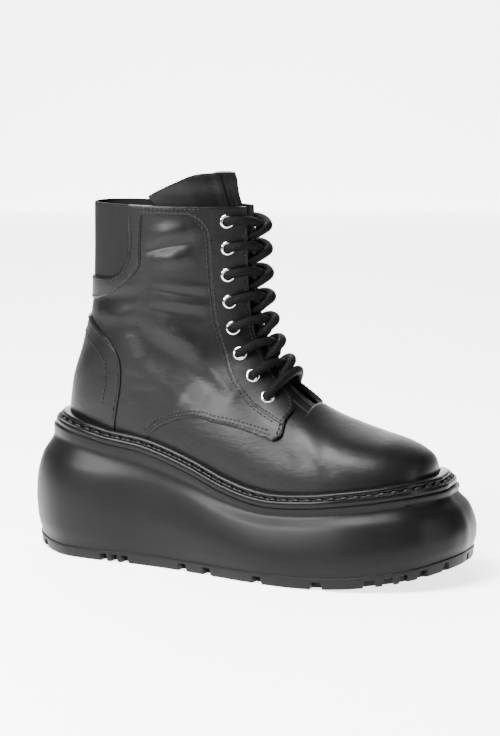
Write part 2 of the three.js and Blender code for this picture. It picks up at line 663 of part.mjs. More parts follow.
// ---------------------------------------------------------------- zip
function makeZipChain() {
  const skin = lastSolid(GAP + ZIP_THICKNESS).subtract(lastSolid(GAP));
  const middle = sideSpline(ZIP_LINE, 16);
  const left = middle.map(([x, z]) => [x - ZIP_HALF_WIDTH, z]);
  const right = middle.map(([x, z]) => [x + ZIP_HALF_WIDTH, z]).reverse();
  const overWelt = waveSlab(above(footbed, WELT_HEIGHT + GAP), () => COLLAR_HEIGHT - 1);
  return skin.intersect(sidePrism(sideShape(left.concat(right)), 0, SIDE_REACH)).intersect(overWelt);
}

function block(width, depth, height, x, y, z) {
  return solidFrom(new THREE.BoxGeometry(width, depth, height).translate(x, y, z));
}

// The slider rides on the chain; two cheeks hold the cross pin of the pull tab.
function makeSlider() {
  const base = PIN.y - SLIDER_BELOW_PIN;
  const cheekDepth = SLIDER_BELOW_PIN + CHEEK_OVER_PIN;
  const cheekAt = (SLIDER_WIDTH - CHEEK_THICKNESS) / 2;
  const cheek = (x) => block(CHEEK_THICKNESS, cheekDepth, CHEEK_HEIGHT, x, base + cheekDepth / 2, PIN.z);
  const bar = new THREE.CylinderGeometry(PIN_RADIUS, PIN_RADIUS, SLIDER_WIDTH - 0.4, 10);
  bar.rotateZ(Math.PI / 2);
  bar.translate(PIN.x, PIN.y, PIN.z);
  return block(SLIDER_WIDTH, SLIDER_DEPTH, SLIDER_HEIGHT, PIN.x, base, PIN.z - SLIDER_DROP)
    .add(cheek(PIN.x - cheekAt))
    .add(cheek(PIN.x + cheekAt))
    .add(solidFrom(bar));
}

// The pull tab hangs from the pin: an eye, and a flat plate below it.
function makePullTab() {
  const outline = new THREE.Shape();
  outline.absarc(0, 0, PULL_EYE_RADIUS, 0, 2 * Math.PI, false);
  const hole = new THREE.Path();
  hole.absarc(0, 0, PIN_RADIUS + PIN_PLAY, 0, 2 * Math.PI, false);
  outline.holes.push(hole);
  const eye = new THREE.ExtrudeGeometry(outline, { depth: PULL_EYE_WIDTH, bevelEnabled: false, curveSegments: 8 });
  eye.rotateY(Math.PI / 2);
  eye.translate(PIN.x - PULL_EYE_WIDTH / 2, PIN.y, PIN.z);
  const neckTop = PIN_RADIUS + PIN_PLAY + NECK_INSET;
  const plateTop = PULL_EYE_RADIUS + NECK_LENGTH;
  const neckHeight = plateTop + 1 - neckTop;
  const plateHeight = PULL_LENGTH - plateTop;
  return solidFrom(eye)
    .add(block(PULL_EYE_WIDTH, PULL_THICKNESS, neckHeight, PIN.x, PIN.y, PIN.z - neckTop - neckHeight / 2))
    .add(block(PULL_WIDTH, PULL_THICKNESS, plateHeight, PIN.x, PIN.y, PIN.z - plateTop - plateHeight / 2));
}

// ---------------------------------------------------------------- the boot
const MATERIALS = {
  leather: new THREE.MeshStandardMaterial({ color: 0x1b1b1d, roughness: 0.42, metalness: 0 }),
  rubber: new THREE.MeshStandardMaterial({ color: 0x1d1e20, roughness: 0.5, metalness: 0 }),
  lining: new THREE.MeshStandardMaterial({ color: 0x202022, roughness: 0.8, metalness: 0 }),
  elastic: new THREE.MeshStandardMaterial({ color: 0x17171a, roughness: 0.85, metalness: 0 }),
  cord: new THREE.MeshStandardMaterial({ color: 0x121214, roughness: 0.75, metalness: 0 }),
  chrome: new THREE.MeshStandardMaterial({ color: 0xc8c9cc, roughness: 0.18, metalness: 1 }),
};

const boot = new THREE.Group();
boot.name = 'platform_boot_right';

function add(name, solid, material) {
  const mesh = new THREE.Mesh(geometryFrom(solid), MATERIALS[material]);
  mesh.name = name;
  boot.add(mesh);
}

const outerLast = lastSolid(0);
const innerLast = lastSolid(-WALL);
const outerPlaces = eyeletPlaces('outer');
const innerPlaces = eyeletPlaces('inner');
const eyelets = [
  ...outerPlaces.map((place, row) => makeEyelet(`eyelet_outer_${row + 1}`, place)),
  ...innerPlaces.map((place, row) => makeEyelet(`eyelet_inner_${row + 1}`, place)),
];

add('outsole', makeOutsole(), 'rubber');
add('platform', makePlatform(), 'rubber');
add('welt', makeWelt(lastSolid(GAP)), 'rubber');
add('insole', makeInsole(), 'lining');
add('upper', makeUpper(outerLast, innerLast, eyelets), 'leather');
add('tongue', makeTongue(), 'leather');
add('elastic_gore', makeGore(outerLast, innerLast), 'elastic');
add('heel_counter', makeCounter(), 'leather');
for (const eyelet of eyelets) add(eyelet.name, eyelet.solid, 'chrome');
for (let row = 0; row < EYELET_ROWS - 1; row += 1) {
  add(`lace_crossing_${row + 1}`, makeCrossing(row), 'cord');
}
add('lace_bar', makeBar(), 'cord');
add('zip_chain', makeZipChain(), 'cord');
add('zip_slider', makeSlider(), 'chrome');
add('zip_pull_tab', makePullTab(), 'chrome');

export default boot;
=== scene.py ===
# %% [markdown]
# # Platform boot, right foot
# A lace-up ankle boot in black leather on a thick moulded platform. The part's
# frame gives the sizes, the places and the bodies that move; this file gives the boot
# its looks, one piece at a time, in the order in which a maker would put it together.

# %% Load the frame
import math

import bpy
import numpy as np
from mathutils import Matrix, Vector


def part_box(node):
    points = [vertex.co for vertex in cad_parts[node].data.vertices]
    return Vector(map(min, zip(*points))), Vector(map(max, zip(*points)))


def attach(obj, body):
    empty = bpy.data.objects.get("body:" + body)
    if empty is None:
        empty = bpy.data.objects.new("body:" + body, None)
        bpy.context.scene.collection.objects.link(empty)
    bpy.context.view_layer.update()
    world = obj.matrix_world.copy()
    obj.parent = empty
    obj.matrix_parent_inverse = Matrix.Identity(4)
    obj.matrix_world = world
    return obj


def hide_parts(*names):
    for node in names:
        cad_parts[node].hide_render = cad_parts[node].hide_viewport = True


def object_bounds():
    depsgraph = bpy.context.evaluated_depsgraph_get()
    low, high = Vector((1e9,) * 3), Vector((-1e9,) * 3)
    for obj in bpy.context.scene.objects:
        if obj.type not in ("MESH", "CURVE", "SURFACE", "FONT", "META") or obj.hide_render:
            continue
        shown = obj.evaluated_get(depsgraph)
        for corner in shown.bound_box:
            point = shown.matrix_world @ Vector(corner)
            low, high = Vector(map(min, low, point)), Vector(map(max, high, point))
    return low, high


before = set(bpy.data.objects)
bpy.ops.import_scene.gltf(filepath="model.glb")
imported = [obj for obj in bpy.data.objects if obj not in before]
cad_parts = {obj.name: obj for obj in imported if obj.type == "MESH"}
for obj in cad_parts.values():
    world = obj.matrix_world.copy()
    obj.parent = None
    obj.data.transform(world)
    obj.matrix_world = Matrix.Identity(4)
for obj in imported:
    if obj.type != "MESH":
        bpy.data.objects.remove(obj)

cad_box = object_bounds()
MM = 0.001
BODY = "boot"
for corner in cad_box:
    print("frame corner, mm:", [round(v / MM, 1) for v in corner])

# %% [markdown]
# ## Camera
# A product view from the outer side, with the toe turned towards the viewer. A long
# lens from about a metre and a half keeps the perspective calm. The camera is aimed at
# the middle of the boot, and nothing is tilted, so upright edges stay upright.

# %% Camera
CAMERA_PLACE = Vector((682, -1376, 362)) * MM
CAMERA_LENS = 118.0
FILM_HEIGHT = 36.0

camera_data = bpy.data.cameras.new("camera")
camera_data.sensor_fit = "VERTICAL"
camera_data.sensor_height = FILM_HEIGHT
camera_data.lens = CAMERA_LENS
camera = bpy.data.objects.new("camera", camera_data)
bpy.context.scene.collection.objects.link(camera)
camera.location = CAMERA_PLACE
aim = (Vector(cad_box[0]) + Vector(cad_box[1])) / 2
camera.rotation_euler = (aim - CAMERA_PLACE).to_track_quat("-Z", "Y").to_euler()
bpy.context.scene.camera = camera
print("camera distance, m:", round((aim - CAMERA_PLACE).length, 2))

# %% [markdown]
# ## Studio
# The floor is a pale sheet and the backdrop a second one; both glow, so they stay white.
# The glow fades towards the viewer and to the sides, or black walls would mirror it.
# Black leather is only seen by what it reflects, so the lights are large soft panels:
# one above, one on the camera's side, a tall narrow one by the toe and one behind.

# %% Floor and backdrop
FLOOR_SIZE = 8.0
BACKDROP_SIZE = 9.0
BACKDROP_AWAY = 2.6
BACKDROP_MIDDLE = 2.0


def start_clean():
    """Leaves object mode with nothing selected, so the next operator acts on its own piece."""
    if bpy.context.object and bpy.context.object.mode != "OBJECT":
        bpy.ops.object.mode_set(mode="OBJECT")
    bpy.ops.object.select_all(action="DESELECT")


start_clean()
bpy.ops.mesh.primitive_plane_add(size=FLOOR_SIZE)
floor = bpy.context.object
floor.name = "floor"

camera_heading = math.atan2(CAMERA_PLACE.y, CAMERA_PLACE.x)
start_clean()
bpy.ops.mesh.primitive_plane_add(size=BACKDROP_SIZE, rotation=(math.pi / 2, 0, camera_heading + math.pi / 2))
backdrop = bpy.context.object
backdrop.name = "backdrop"
behind = Vector((math.cos(camera_heading), math.sin(camera_heading), 0)) * -BACKDROP_AWAY
backdrop.location = behind + Vector((0, 0, BACKDROP_MIDDLE))

# %% Lights
def soft_panel(name, place, target, width, height, power):
    """A large soft light at a place in metres, facing a target."""
    data = bpy.data.lights.new(name, "AREA")
    data.shape = "RECTANGLE"
    data.size = width
    data.size_y = height
    data.energy = power
    lamp = bpy.data.objects.new(name, data)
    bpy.context.scene.collection.objects.link(lamp)
    lamp.location = place
    lamp.rotation_euler = (Vector(target) - Vector(place)).to_track_quat("-Z", "Y").to_euler()
    return lamp


soft_panel("light_top", (-0.25, -0.75, 1.45), (0, 0, 0.05), 0.9, 0.6, 110)
soft_panel("light_camera_side", (-0.8, -1.4, 0.95), (0, 0, 0.1), 0.7, 0.5, 95)
soft_panel("light_toe", (1.4, -0.15, 0.45), (0, 0, 0.08), 0.2, 0.9, 8)
soft_panel("light_back", (-0.9, 1.2, 1.3), (0, 0, 0.15), 1.0, 0.8, 26)

world = bpy.data.worlds.new("studio")
bpy.context.scene.world = world
world.use_nodes = True
WORLD_TONE = (0.95, 0.952, 0.955, 1.0)
WORLD_STRENGTH = 0.11
background = world.node_tree.nodes["Background"]
background.inputs["Color"].default_value = WORLD_TONE
background.inputs["Strength"].default_value = WORLD_STRENGTH

# %% [markdown]
# ## Writing finishes as sums
# A shader is easier to read as arithmetic than as a tangle of links. `Wire` stands for
# one socket, and adding or multiplying wires adds the Math nodes. `Finish` is one
# material; its method `node` makes any other node from its type, settings and values.

# %% A small language for materials
MIX_FACTOR, MIX_A, MIX_B, MIX_RESULT = 0, 6, 7, 2      # a colour Mix node's sockets


class Wire:
    """One output socket. Arithmetic on wires makes Math nodes."""

    def __init__(self, finish, socket):
        self.finish = finish
        self.socket = socket

    def math(self, operation, first, second):
        return self.finish.node("ShaderNodeMath", {"operation": operation}, {0: first, 1: second})

    def __add__(self, other):
        return self.math("ADD", self, other)

    __radd__ = __add__

    def __sub__(self, other):
        return self.math("SUBTRACT", self, other)

    def __rsub__(self, other):
        return self.math("SUBTRACT", other, self)

    def __mul__(self, other):
        return self.math("MULTIPLY", self, other)

    __rmul__ = __mul__


class Finish:
    """A material: a Principled shader with constants on its own sockets."""

    def __init__(self, name, base, roughness, **constants):
        self.material = bpy.data.materials.new(name)
        self.material.use_nodes = True
        self.tree = self.material.node_tree
        self.shader = self.tree.nodes["Principled BSDF"]
        self.set("Base Color", (*base, 1.0))
        self.set("Roughness", roughness)
        for socket, value in constants.items():
            self.set(socket.replace("_", " "), value)

    def set(self, socket, value):
        self.plug(self.shader.inputs[socket], value)

    def plug(self, socket, value):
        if isinstance(value, Wire):
            self.tree.links.new(value.socket, socket)
        else:
            socket.default_value = value

    def node(self, kind, settings=None, values=None, out=0):
        made = self.tree.nodes.new(kind)
        for key, setting in (settings or {}).items():
            setattr(made, key, setting)
        for key, value in (values or {}).items():
            self.plug(made.inputs[key], value)
        return Wire(self, made.outputs[out])

    def place(self, stretch=(1.0, 1.0, 1.0)):
        """Object coordinates in millimetres, stretched."""
        where = self.node("ShaderNodeTexCoord", out="Object")
        scale = tuple(s / MM for s in stretch)
        return self.node("ShaderNodeMapping", None, {"Vector": where, "Scale": scale})

    def noise(self, size, detail=2.0, stretch=(1.0, 1.0, 1.0), rough=0.5):
        """Cloudy noise with blotches of about this size in millimetres."""
        values = {"Vector": self.place(stretch), "Scale": 1.0 / size, "Detail": detail, "Roughness": rough}
        return self.node("ShaderNodeTexNoise", None, values)

    def between(self, mask, low, high):
        """Mixes two colours by a mask."""
        values = {MIX_FACTOR: mask, MIX_A: (*low, 1.0), MIX_B: (*high, 1.0)}
        return self.node("ShaderNodeMix", {"data_type": "RGBA"}, values, MIX_RESULT)

    def parts(self, vector):
        """The three numbers of a vector, each as a wire."""
        return tuple(self.node("ShaderNodeSeparateXYZ", None, {0: vector}, axis) for axis in range(3))

    def bump(self, height, depth, under=None):
        """A bump whose height of 1 stands this many millimetres proud."""
        values = {"Height": height, "Distance": depth * MM, "Strength": 1.0}
        if under:
            values["Normal"] = under
        return self.node("ShaderNodeBump", None, values)


def dress(piece, *finishes):
    """Gives a piece its materials in slot order."""
    slots = [0] * len(piece.data.polygons)
    piece.data.polygons.foreach_get("material_index", slots)
    piece.data.materials.clear()
    for finish in finishes:
        piece.data.materials.append(finish.material)
    piece.data.polygons.foreach_set("material_index", slots)


# %% Floor and backdrop finish
BACKDROP_GLOW, FLOOR_GLOW = 3.3, 2.7
FLOOR_FADE = (0.42, 0.75)        # metres towards the camera, or aside, over which the glow fades
BACKDROP_FADE = (0.5, 0.9)       # metres to either side


def paper_finish(name, glow, fade, distance_of):
    """White paper whose glow fades over a distance that is worked out from x and y."""
    made = Finish(name, (0.86, 0.86, 0.865), 0.9, Emission_Strength=glow)
    made.set("Base Color", made.between(made.noise(400.0), (0.855, 0.855, 0.86), (0.87, 0.87, 0.875)))
    x, y, _ = made.parts(made.node("ShaderNodeTexCoord", out="Object"))
    span = {"Value": distance_of(x, y), "From Min": fade[0], "From Max": fade[1]}
    mask = made.node("ShaderNodeMapRange", {"interpolation_type": "SMOOTHSTEP"}, span)
    made.set("Emission Color", made.between(mask, (1.0, 1.0, 1.0), (0.06, 0.06, 0.06)))
    return made


def ahead_or_aside(x, y):
    ahead = x * math.cos(camera_heading) + y * math.sin(camera_heading)
    aside = y * math.cos(camera_heading) + x * -math.sin(camera_heading)
    return x.math("MAXIMUM", ahead, x.math("ABSOLUTE", aside, 0.0))


def to_the_side(x, _):
    return x.math("ABSOLUTE", x, 0.0)


dress(floor, paper_finish("floor paper", FLOOR_GLOW, FLOOR_FADE, ahead_or_aside))
dress(backdrop, paper_finish("backdrop paper", BACKDROP_GLOW, BACKDROP_FADE, to_the_side))

# %% [markdown]
# ## The last
# A boot is built round a last, the wooden foot inside it. Every leather piece here lies
# on the same last as the frame's upper: sections fan from the toe over the
# instep to the collar, each a superellipse. `t` runs over the sections and `turn` goes
# once round: from the top over the outer side to the keel and back over the inner side.

# %% Driving sizes, millimetres
LENGTH = 257.0
BALL_WIDTH = 92.0
INSTEP_RISE = 60.0
HEEL_HEIGHT = 84.5
BALL_HEIGHT = 48.0
COLLAR_HEIGHT = 231.0
WELT_HEIGHT = 8.0
TREAD_HEIGHT = 7.5
NOTCH_DEPTH = 4.6

# Footbed: share of the length from the heel, share of the drop from heel to ball.
FOOTBED = (
    (-0.10, 1.02), (0.00, 1.00), (0.08, 0.92), (0.17, 0.80), (0.29, 0.69), (0.41, 0.45), (0.53, 0.14),
    (0.63, 0.00), (0.74, 0.03), (0.83, 0.11), (0.91, 0.19), (0.97, 0.26), (1.02, 0.30), (1.10, 0.34),
)

# Sections: top profile (share of length, rise), keel (share, rise), swing to the inner
# side, half widths outer and inner, where they are widest, powers of crown and base.
LAST_COLUMNS = ("top_at", "top_rise", "keel_at", "keel_rise", "swing", "outer", "inner", "widest",
                "crown", "base")
LAST = (
    (1.000, 0.15, 1.000, 0.15, 0.045, 0.000, 0.000, 0.50, 2.0, 2.0),     # toe tip
    (0.990, 0.33, 0.990, -0.06, 0.045, 0.165, 0.165, 0.54, 2.1, 2.2),
    (0.963, 0.43, 0.963, -0.20, 0.045, 0.285, 0.285, 0.58, 2.2, 2.4),    # toe box
    (0.912, 0.55, 0.916, -0.27, 0.045, 0.385, 0.380, 0.60, 2.2, 2.6),
    (0.850, 0.65, 0.850, -0.30, 0.040, 0.447, 0.440, 0.61, 2.2, 2.6),
    (0.780, 0.78, 0.768, -0.31, 0.035, 0.482, 0.463, 0.62, 2.1, 2.6),    # ball
    (0.715, 0.92, 0.670, -0.32, 0.025, 0.486, 0.452, 0.62, 2.0, 2.6),
    (0.658, 1.09, 0.560, -0.32, 0.015, 0.468, 0.415, 0.62, 1.9, 2.6),    # waist
    (0.612, 1.26, 0.425, -0.34, 0.005, 0.440, 0.375, 0.62, 1.80, 2.5),   # throat
    (0.578, 1.46, 0.265, -0.34, 0.000, 0.405, 0.340, 0.62, 1.75, 2.4),   # instep
    (0.555, 1.67, 0.113, -0.34, 0.000, 0.378, 0.320, 0.62, 1.7, 2.3),
    (0.541, 1.90, 0.015, -0.10, 0.000, 0.364, 0.310, 0.60, 1.7, 2.2),    # heel seat
    (0.533, 2.12, 0.012, 0.40, 0.000, 0.352, 0.290, 0.56, 1.7, 2.2),
    (0.529, 2.35, 0.043, 0.87, 0.000, 0.340, 0.262, 0.53, 1.7, 2.2),     # ankle
    (0.527, 2.58, 0.068, 1.33, 0.000, 0.333, 0.240, 0.51, 1.7, 2.3),
    (0.525, 2.82, 0.075, 1.84, 0.000, 0.330, 0.230, 0.50, 1.7, 2.4),
    (0.523, 3.08, 0.0765, 2.37, 0.000, 0.330, 0.228, 0.50, 1.7, 2.4),    # collar
    (0.523, 3.50, 0.0765, 2.92, 0.000, 0.330, 0.228, 0.50, 1.7, 2.4),
)
STATIONS = len(LAST) - 1


# %% The last as a function
def spline(values, t, before, after):
    """Catmull-Rom through evenly spaced values; t may be an array."""
    padded = np.concatenate([[before], values, [after]])
    i = np.clip(np.floor(t).astype(int), 0, len(values) - 2)
    k = t - i
    a, b, c, d = padded[i], padded[i + 1], padded[i + 2], padded[i + 3]
    return b + 0.5 * k * (c - a + k * (2 * a - 5 * b + 4 * c - d + k * (3 * (b - c) + d - a)))


def smooth(table, x, column=1):
    """Catmull-Rom through a table whose first column need not be evenly spaced."""
    keys = np.array([row[0] for row in table])
    values = np.array([row[column] for row in table], float)
    i = np.clip(np.searchsorted(keys, x, side="right") - 1, 0, len(keys) - 2)
    k = np.clip((x - keys[i]) / (keys[i + 1] - keys[i]), 0, 1)
    return spline(values, i + k, values[0], values[-1])


def footbed(x):
    return BALL_HEIGHT + (HEEL_HEIGHT - BALL_HEIGHT) * smooth(FOOTBED, np.asarray(x) / LENGTH + 0.5)


last = {name: np.array([row[i] for row in LAST], float) for i, name in enumerate(LAST_COLUMNS)}
last["top_x"] = (last["top_at"] - 0.5) * LENGTH
last["keel_x"] = (last["keel_at"] - 0.5) * LENGTH
last["top_z"] = footbed(last["top_x"]) + last["top_rise"] * INSTEP_RISE
last["keel_z"] = footbed(last["keel_x"]) + last["keel_rise"] * INSTEP_RISE
for name in ("swing", "outer", "inner"):
    last[name] = last[name] * BALL_WIDTH


def column(name, t, before=None):
    values = last[name]
    return spline(values, t, values[1] if before is None else before, values[-1])


def bare_point(t, turn):
    """A point of the smooth last."""
    t, turn = np.broadcast_arrays(np.asarray(t, float), np.asarray(turn, float))
    top_x = column("top_x", t, last["keel_x"][1])
    top_z = column("top_z", t, last["keel_z"][1])
    keel_x = column("keel_x", t, last["top_x"][1])
    keel_z = column("keel_z", t, last["top_z"][1])
    widest = column("widest", t)
    c, s = np.cos(turn), np.sin(turn)
    power = np.where(c > 0, column("crown", t), column("base", t))
    reach = np.abs(c) ** (2 / power)
    down = np.where(c > 0, widest * (1 - reach), widest + (1 - widest) * reach)
    width = np.abs(s) ** (2 / power)
    half = np.where(s > 0, -column("outer", t, -last["outer"][1]), column("inner", t, -last["inner"][1]))
    y = column("swing", t) + half * width
    return np.stack([top_x + (keel_x - top_x) * down, y, top_z + (keel_z - top_z) * down], axis=-1)


def normals(t, turn):
    step = 0.02
    t = np.maximum(t, step)
    along = bare_point(np.minimum(t + step, STATIONS), turn) - bare_point(t - step, turn)
    around = bare_point(t, turn + step) - bare_point(t, turn - step)
    normal = np.cross(along, around)
    return normal / np.maximum(np.linalg.norm(normal, axis=-1, keepdims=True), 1e-9)


print("last, mm:", bare_point(0.0, 0.0).round(1), "to", bare_point(float(STATIONS), math.pi).round(1))

# %% [markdown]
# ## Creases
# Worn leather folds where the foot bends and where the shaft sags. Each crease here is
# one stroke of a sculptor's tool, set in the side view: where it starts and
# ends, how wide it is, and how far it stands out or sinks in. Everything that lies on
# the last moves with them, so seams and stitches follow the folds.

# %% Strokes on the leather
OUTER, INNER, BOTH = -1, 1, 0
# side, start x and z, end x and z, half width, rise (negative sinks in), millimetres
CREASES = (
    (OUTER, -56, 202.5, -30, 208.5, 2.8, -1.7),   # dent below the collar
    (OUTER, -52, 212, -28, 217, 6.0, 1.9),
    (OUTER, -48, 196, -32, 199, 5.0, 1.7),
    (OUTER, -76, 190, -72, 214, 4.5, -0.7),
    (OUTER, -52, 178, -21, 174, 2.2, -0.9),     # fine folds over the ankle
    (OUTER, -46, 182, -20, 180, 2.0, 0.6),
    (OUTER, -44, 171, -20, 168, 2.2, 0.7),
    (OUTER, -58, 166, -22, 161, 3.0, -0.8),
    (OUTER, -100, 168, -62, 172, 6.0, -1.3),    # fold behind the ankle
    (OUTER, -96, 160, -70, 160, 5.0, 0.8),
    (OUTER, -66, 152, -10, 112, 8.5, -2.2),     # long trough from ankle to instep
    (OUTER, -44, 152, -24, 141, 6.0, 1.9),
    (OUTER, -24, 136, 4, 114, 4.5, 1.0),
    (OUTER, -62, 128, -30, 108, 10.0, 1.6),
    (OUTER, -70, 121, -52, 119, 2.0, -0.25),
    (OUTER, -68, 111, -50, 112, 2.2, -0.25),
    (INNER, -96, 170, -60, 176, 6.0, -1.4),     # inner side, fewer and softer
    (INNER, -90, 150, -50, 128, 8.0, -1.8),
    (INNER, -30, 170, -16, 166, 3.0, -0.8),
    (INNER, -30, 150, -12, 144, 4.0, -0.9),
    (INNER, -66, 205, -48, 199, 5.0, -1.1),
    (BOTH, 46, 93, 56, 76, 4.6, -0.45),         # flex lines over the ball
    (BOTH, 56, 91, 66, 75, 4.6, 0.35),
    (BOTH, 65, 86, 75, 72, 4.2, -0.3),
)


def relief(p):
    """How far the creases lift the leather at points of the bare last."""
    rise = np.zeros(p.shape[:-1])
    for side, x0, z0, x1, z1, width, height in CREASES:
        dx, dz = x1 - x0, z1 - z0
        k = np.clip(((p[..., 0] - x0) * dx + (p[..., 2] - z0) * dz) / (dx * dx + dz * dz), 0, 1)
        away = (p[..., 0] - x0 - k * dx) ** 2 + (p[..., 2] - z0 - k * dz) ** 2
        on_side = 1 if side == BOTH else np.clip(0.5 + side * p[..., 1] / 12, 0, 1)
        taper = 0.35 + 0.65 * np.sin(np.pi * np.clip(k, 0.06, 0.94)) ** 0.7
        rise = rise + on_side * height * taper * np.exp(-away / width ** 2)
    return rise


def surface(t, turn, lift, creased=True):
    """A point on the leather, lifted by a distance along the last's normal."""
    bare = bare_point(t, turn)
    height = lift + relief(bare) if creased else lift
    return bare + normals(t, turn) * np.asarray(height)[..., None]


print("creases:", len(CREASES))

# %% [markdown]
# ## Cutting leather
# A panel of leather is cut from a fine grid on the last. Its edges are simple tests on
# a point: above this seam, behind that line. Cells that pass are kept, and cells that
# the line crosses are cut along it, so the edge is clean. A second skin below and a
# wall round the edge give the leather its thickness. No primitive could be bent to this
# double-curved shape, so the panels are made from the last's formula instead.

# %% Meshes, normals and modifiers
def mesh_piece(name, points, faces):
    """A new object from points in millimetres."""
    mesh = bpy.data.meshes.new(name)
    corners = [tuple(point) for point in np.asarray(points) * MM]
    mesh.from_pydata(corners, [], [tuple(int(i) for i in face) for face in faces])
    mesh.update()
    piece = bpy.data.objects.new(name, mesh)
    bpy.context.scene.collection.objects.link(piece)
    return piece


def activate(piece):
    start_clean()
    piece.select_set(True)
    bpy.context.view_layer.objects.active = piece


def shade(piece, degrees=40.0):
    activate(piece)
    bpy.ops.object.shade_smooth_by_angle(angle=math.radians(degrees))


def face_outwards(piece, merge=0.0):
    """Merges points closer than this many millimetres, then turns all normals outwards."""
    activate(piece)
    bpy.ops.object.mode_set(mode="EDIT")
    bpy.ops.mesh.select_all(action="SELECT")
    if merge:
        bpy.ops.mesh.remove_doubles(threshold=merge * MM)
    bpy.ops.mesh.normals_make_consistent(inside=False)
    bpy.ops.object.mode_set(mode="OBJECT")


def finish_modifier(piece, kind, **settings):
    """Adds one modifier and applies it."""
    activate(piece)
    modifier = piece.modifiers.new(kind.lower(), kind)
    for key, value in settings.items():
        setattr(modifier, key, value)
    bpy.ops.object.modifier_apply(modifier=modifier.name)


# %% A grid on the last
PROBE = 0.05      # share of a section over which a stride is measured


def panel_grid(t_span, turn_span, spacing):
    """Stations and turns whose cells are about this many millimetres wide."""
    t = [t_span[0]]
    turns = np.linspace(*turn_span, 9)
    while t[-1] < t_span[1]:
        ahead = min(t[-1] + PROBE, STATIONS - 0.01)
        stride = np.linalg.norm(bare_point(ahead, turns) - bare_point(ahead - PROBE, turns), axis=-1)
        t.append(t[-1] + PROBE * spacing / max(np.percentile(stride, 70), 1e-3))
    t[-1] = t_span[1]
    widest = bare_point(np.linspace(*t_span, 9)[:, None], np.linspace(*turn_span, 60)[None, :])
    girth = np.linalg.norm(np.diff(widest, axis=1), axis=-1).sum(1).max()
    return np.array(t), np.linspace(*turn_span, max(int(girth / spacing), 8))


def newton_step(t, turn, test, value):
    """The move, in station and turn, onto a test's zero line, and how far away that line is."""
    small = 1e-3
    p = bare_point(t, turn)
    along = (bare_point(t + small, turn) - p) / small
    around = (bare_point(t, turn + small) - p) / small
    down_t = (test(bare_point(t + small, turn)) - value) / small
    down_a = (test(bare_point(t, turn + small)) - value) / small
    weight_t = 1 / np.maximum((along ** 2).sum(-1), 1e-6)
    weight_a = 1 / np.maximum((around ** 2).sum(-1), 1e-6)
    slope = np.maximum(down_t ** 2 * weight_t + down_a ** 2 * weight_a, 1e-9)
    move = -value / slope
    return move * down_t * weight_t, move * down_a * weight_a, np.abs(value) / np.sqrt(slope)


# %% Cutting the grid along a line
SNAP = 0.3        # corners this near the line, in cells, are moved onto it
HALVINGS = 14


def clip_cells(t, turn, faces, test, spacing):
    """Cuts the cells along a test's zero line and keeps the positive side."""
    value = test(bare_point(t, turn))
    move_t, move_a, away = newton_step(t, turn, test, value)
    near = away < SNAP * spacing
    t, turn = np.where(near, t + move_t, t), np.where(near, turn + move_a, turn)
    value = np.where(near, 0.0, value)
    kept, crossing = [], []
    for face in faces:
        levels = value[list(face)]
        if levels.min() >= 0:
            if levels.max() > 0:
                kept.append(face)
        elif levels.max() > 0:
            crossing.append(face)
    edges = {}
    for face in crossing:
        for i, j in zip(face, face[1:] + face[:1]):
            if value[i] * value[j] < 0:
                edges.setdefault((min(i, j), max(i, j)), len(t) + len(edges))
    if edges:
        first, second = np.array(list(edges)).T
        low, high = np.zeros(len(first)), np.ones(len(first))
        rising = value[second] > value[first]
        for _ in range(HALVINGS):
            share = (low + high) / 2
            positive = test(bare_point(t[first] + share * (t[second] - t[first]),
                                       turn[first] + share * (turn[second] - turn[first]))) > 0
            high = np.where(positive == rising, share, high)
            low = np.where(positive == rising, low, share)
        share = (low + high) / 2
        t = np.concatenate([t, t[first] + share * (t[second] - t[first])])
        turn = np.concatenate([turn, turn[first] + share * (turn[second] - turn[first])])
    for face in crossing:
        cut = []
        for i, j in zip(face, face[1:] + face[:1]):
            if value[i] >= 0:
                cut.append(i)
            if value[i] * value[j] < 0:
                cut.append(edges[min(i, j), max(i, j)])
        if len(cut) > 2:
            kept.append(tuple(cut))
    return t, turn, kept


# %% Two skins and a wall
def rim_of(faces):
    """The edges, as pairs of points, that only one face uses."""
    used = {(i, j): True for face in faces for i, j in zip(face, face[1:] + face[:1])}
    return [(i, j) for i, j in used if (j, i) not in used]


def closed_shell(name, top, bottom, faces):
    """A top skin and a bottom skin over the same cells, with a wall round every edge."""
    count = len(top)
    wall = [(j, i, i + count, j + count) for i, j in rim_of(faces)]
    under = [tuple(i + count for i in reversed(face)) for face in faces]
    piece = mesh_piece(name, np.vstack([top, bottom]), list(faces) + wall + under)
    slots = np.zeros(len(piece.data.polygons), int)
    slots[len(faces) + len(wall):] = 1
    piece.data.materials.append(None)
    piece.data.materials.append(None)
    piece.data.polygons.foreach_set("material_index", slots)
    return piece


# %% A whole panel
EDGE_DROP = 0.32      # skived edges lie a little lower, millimetres


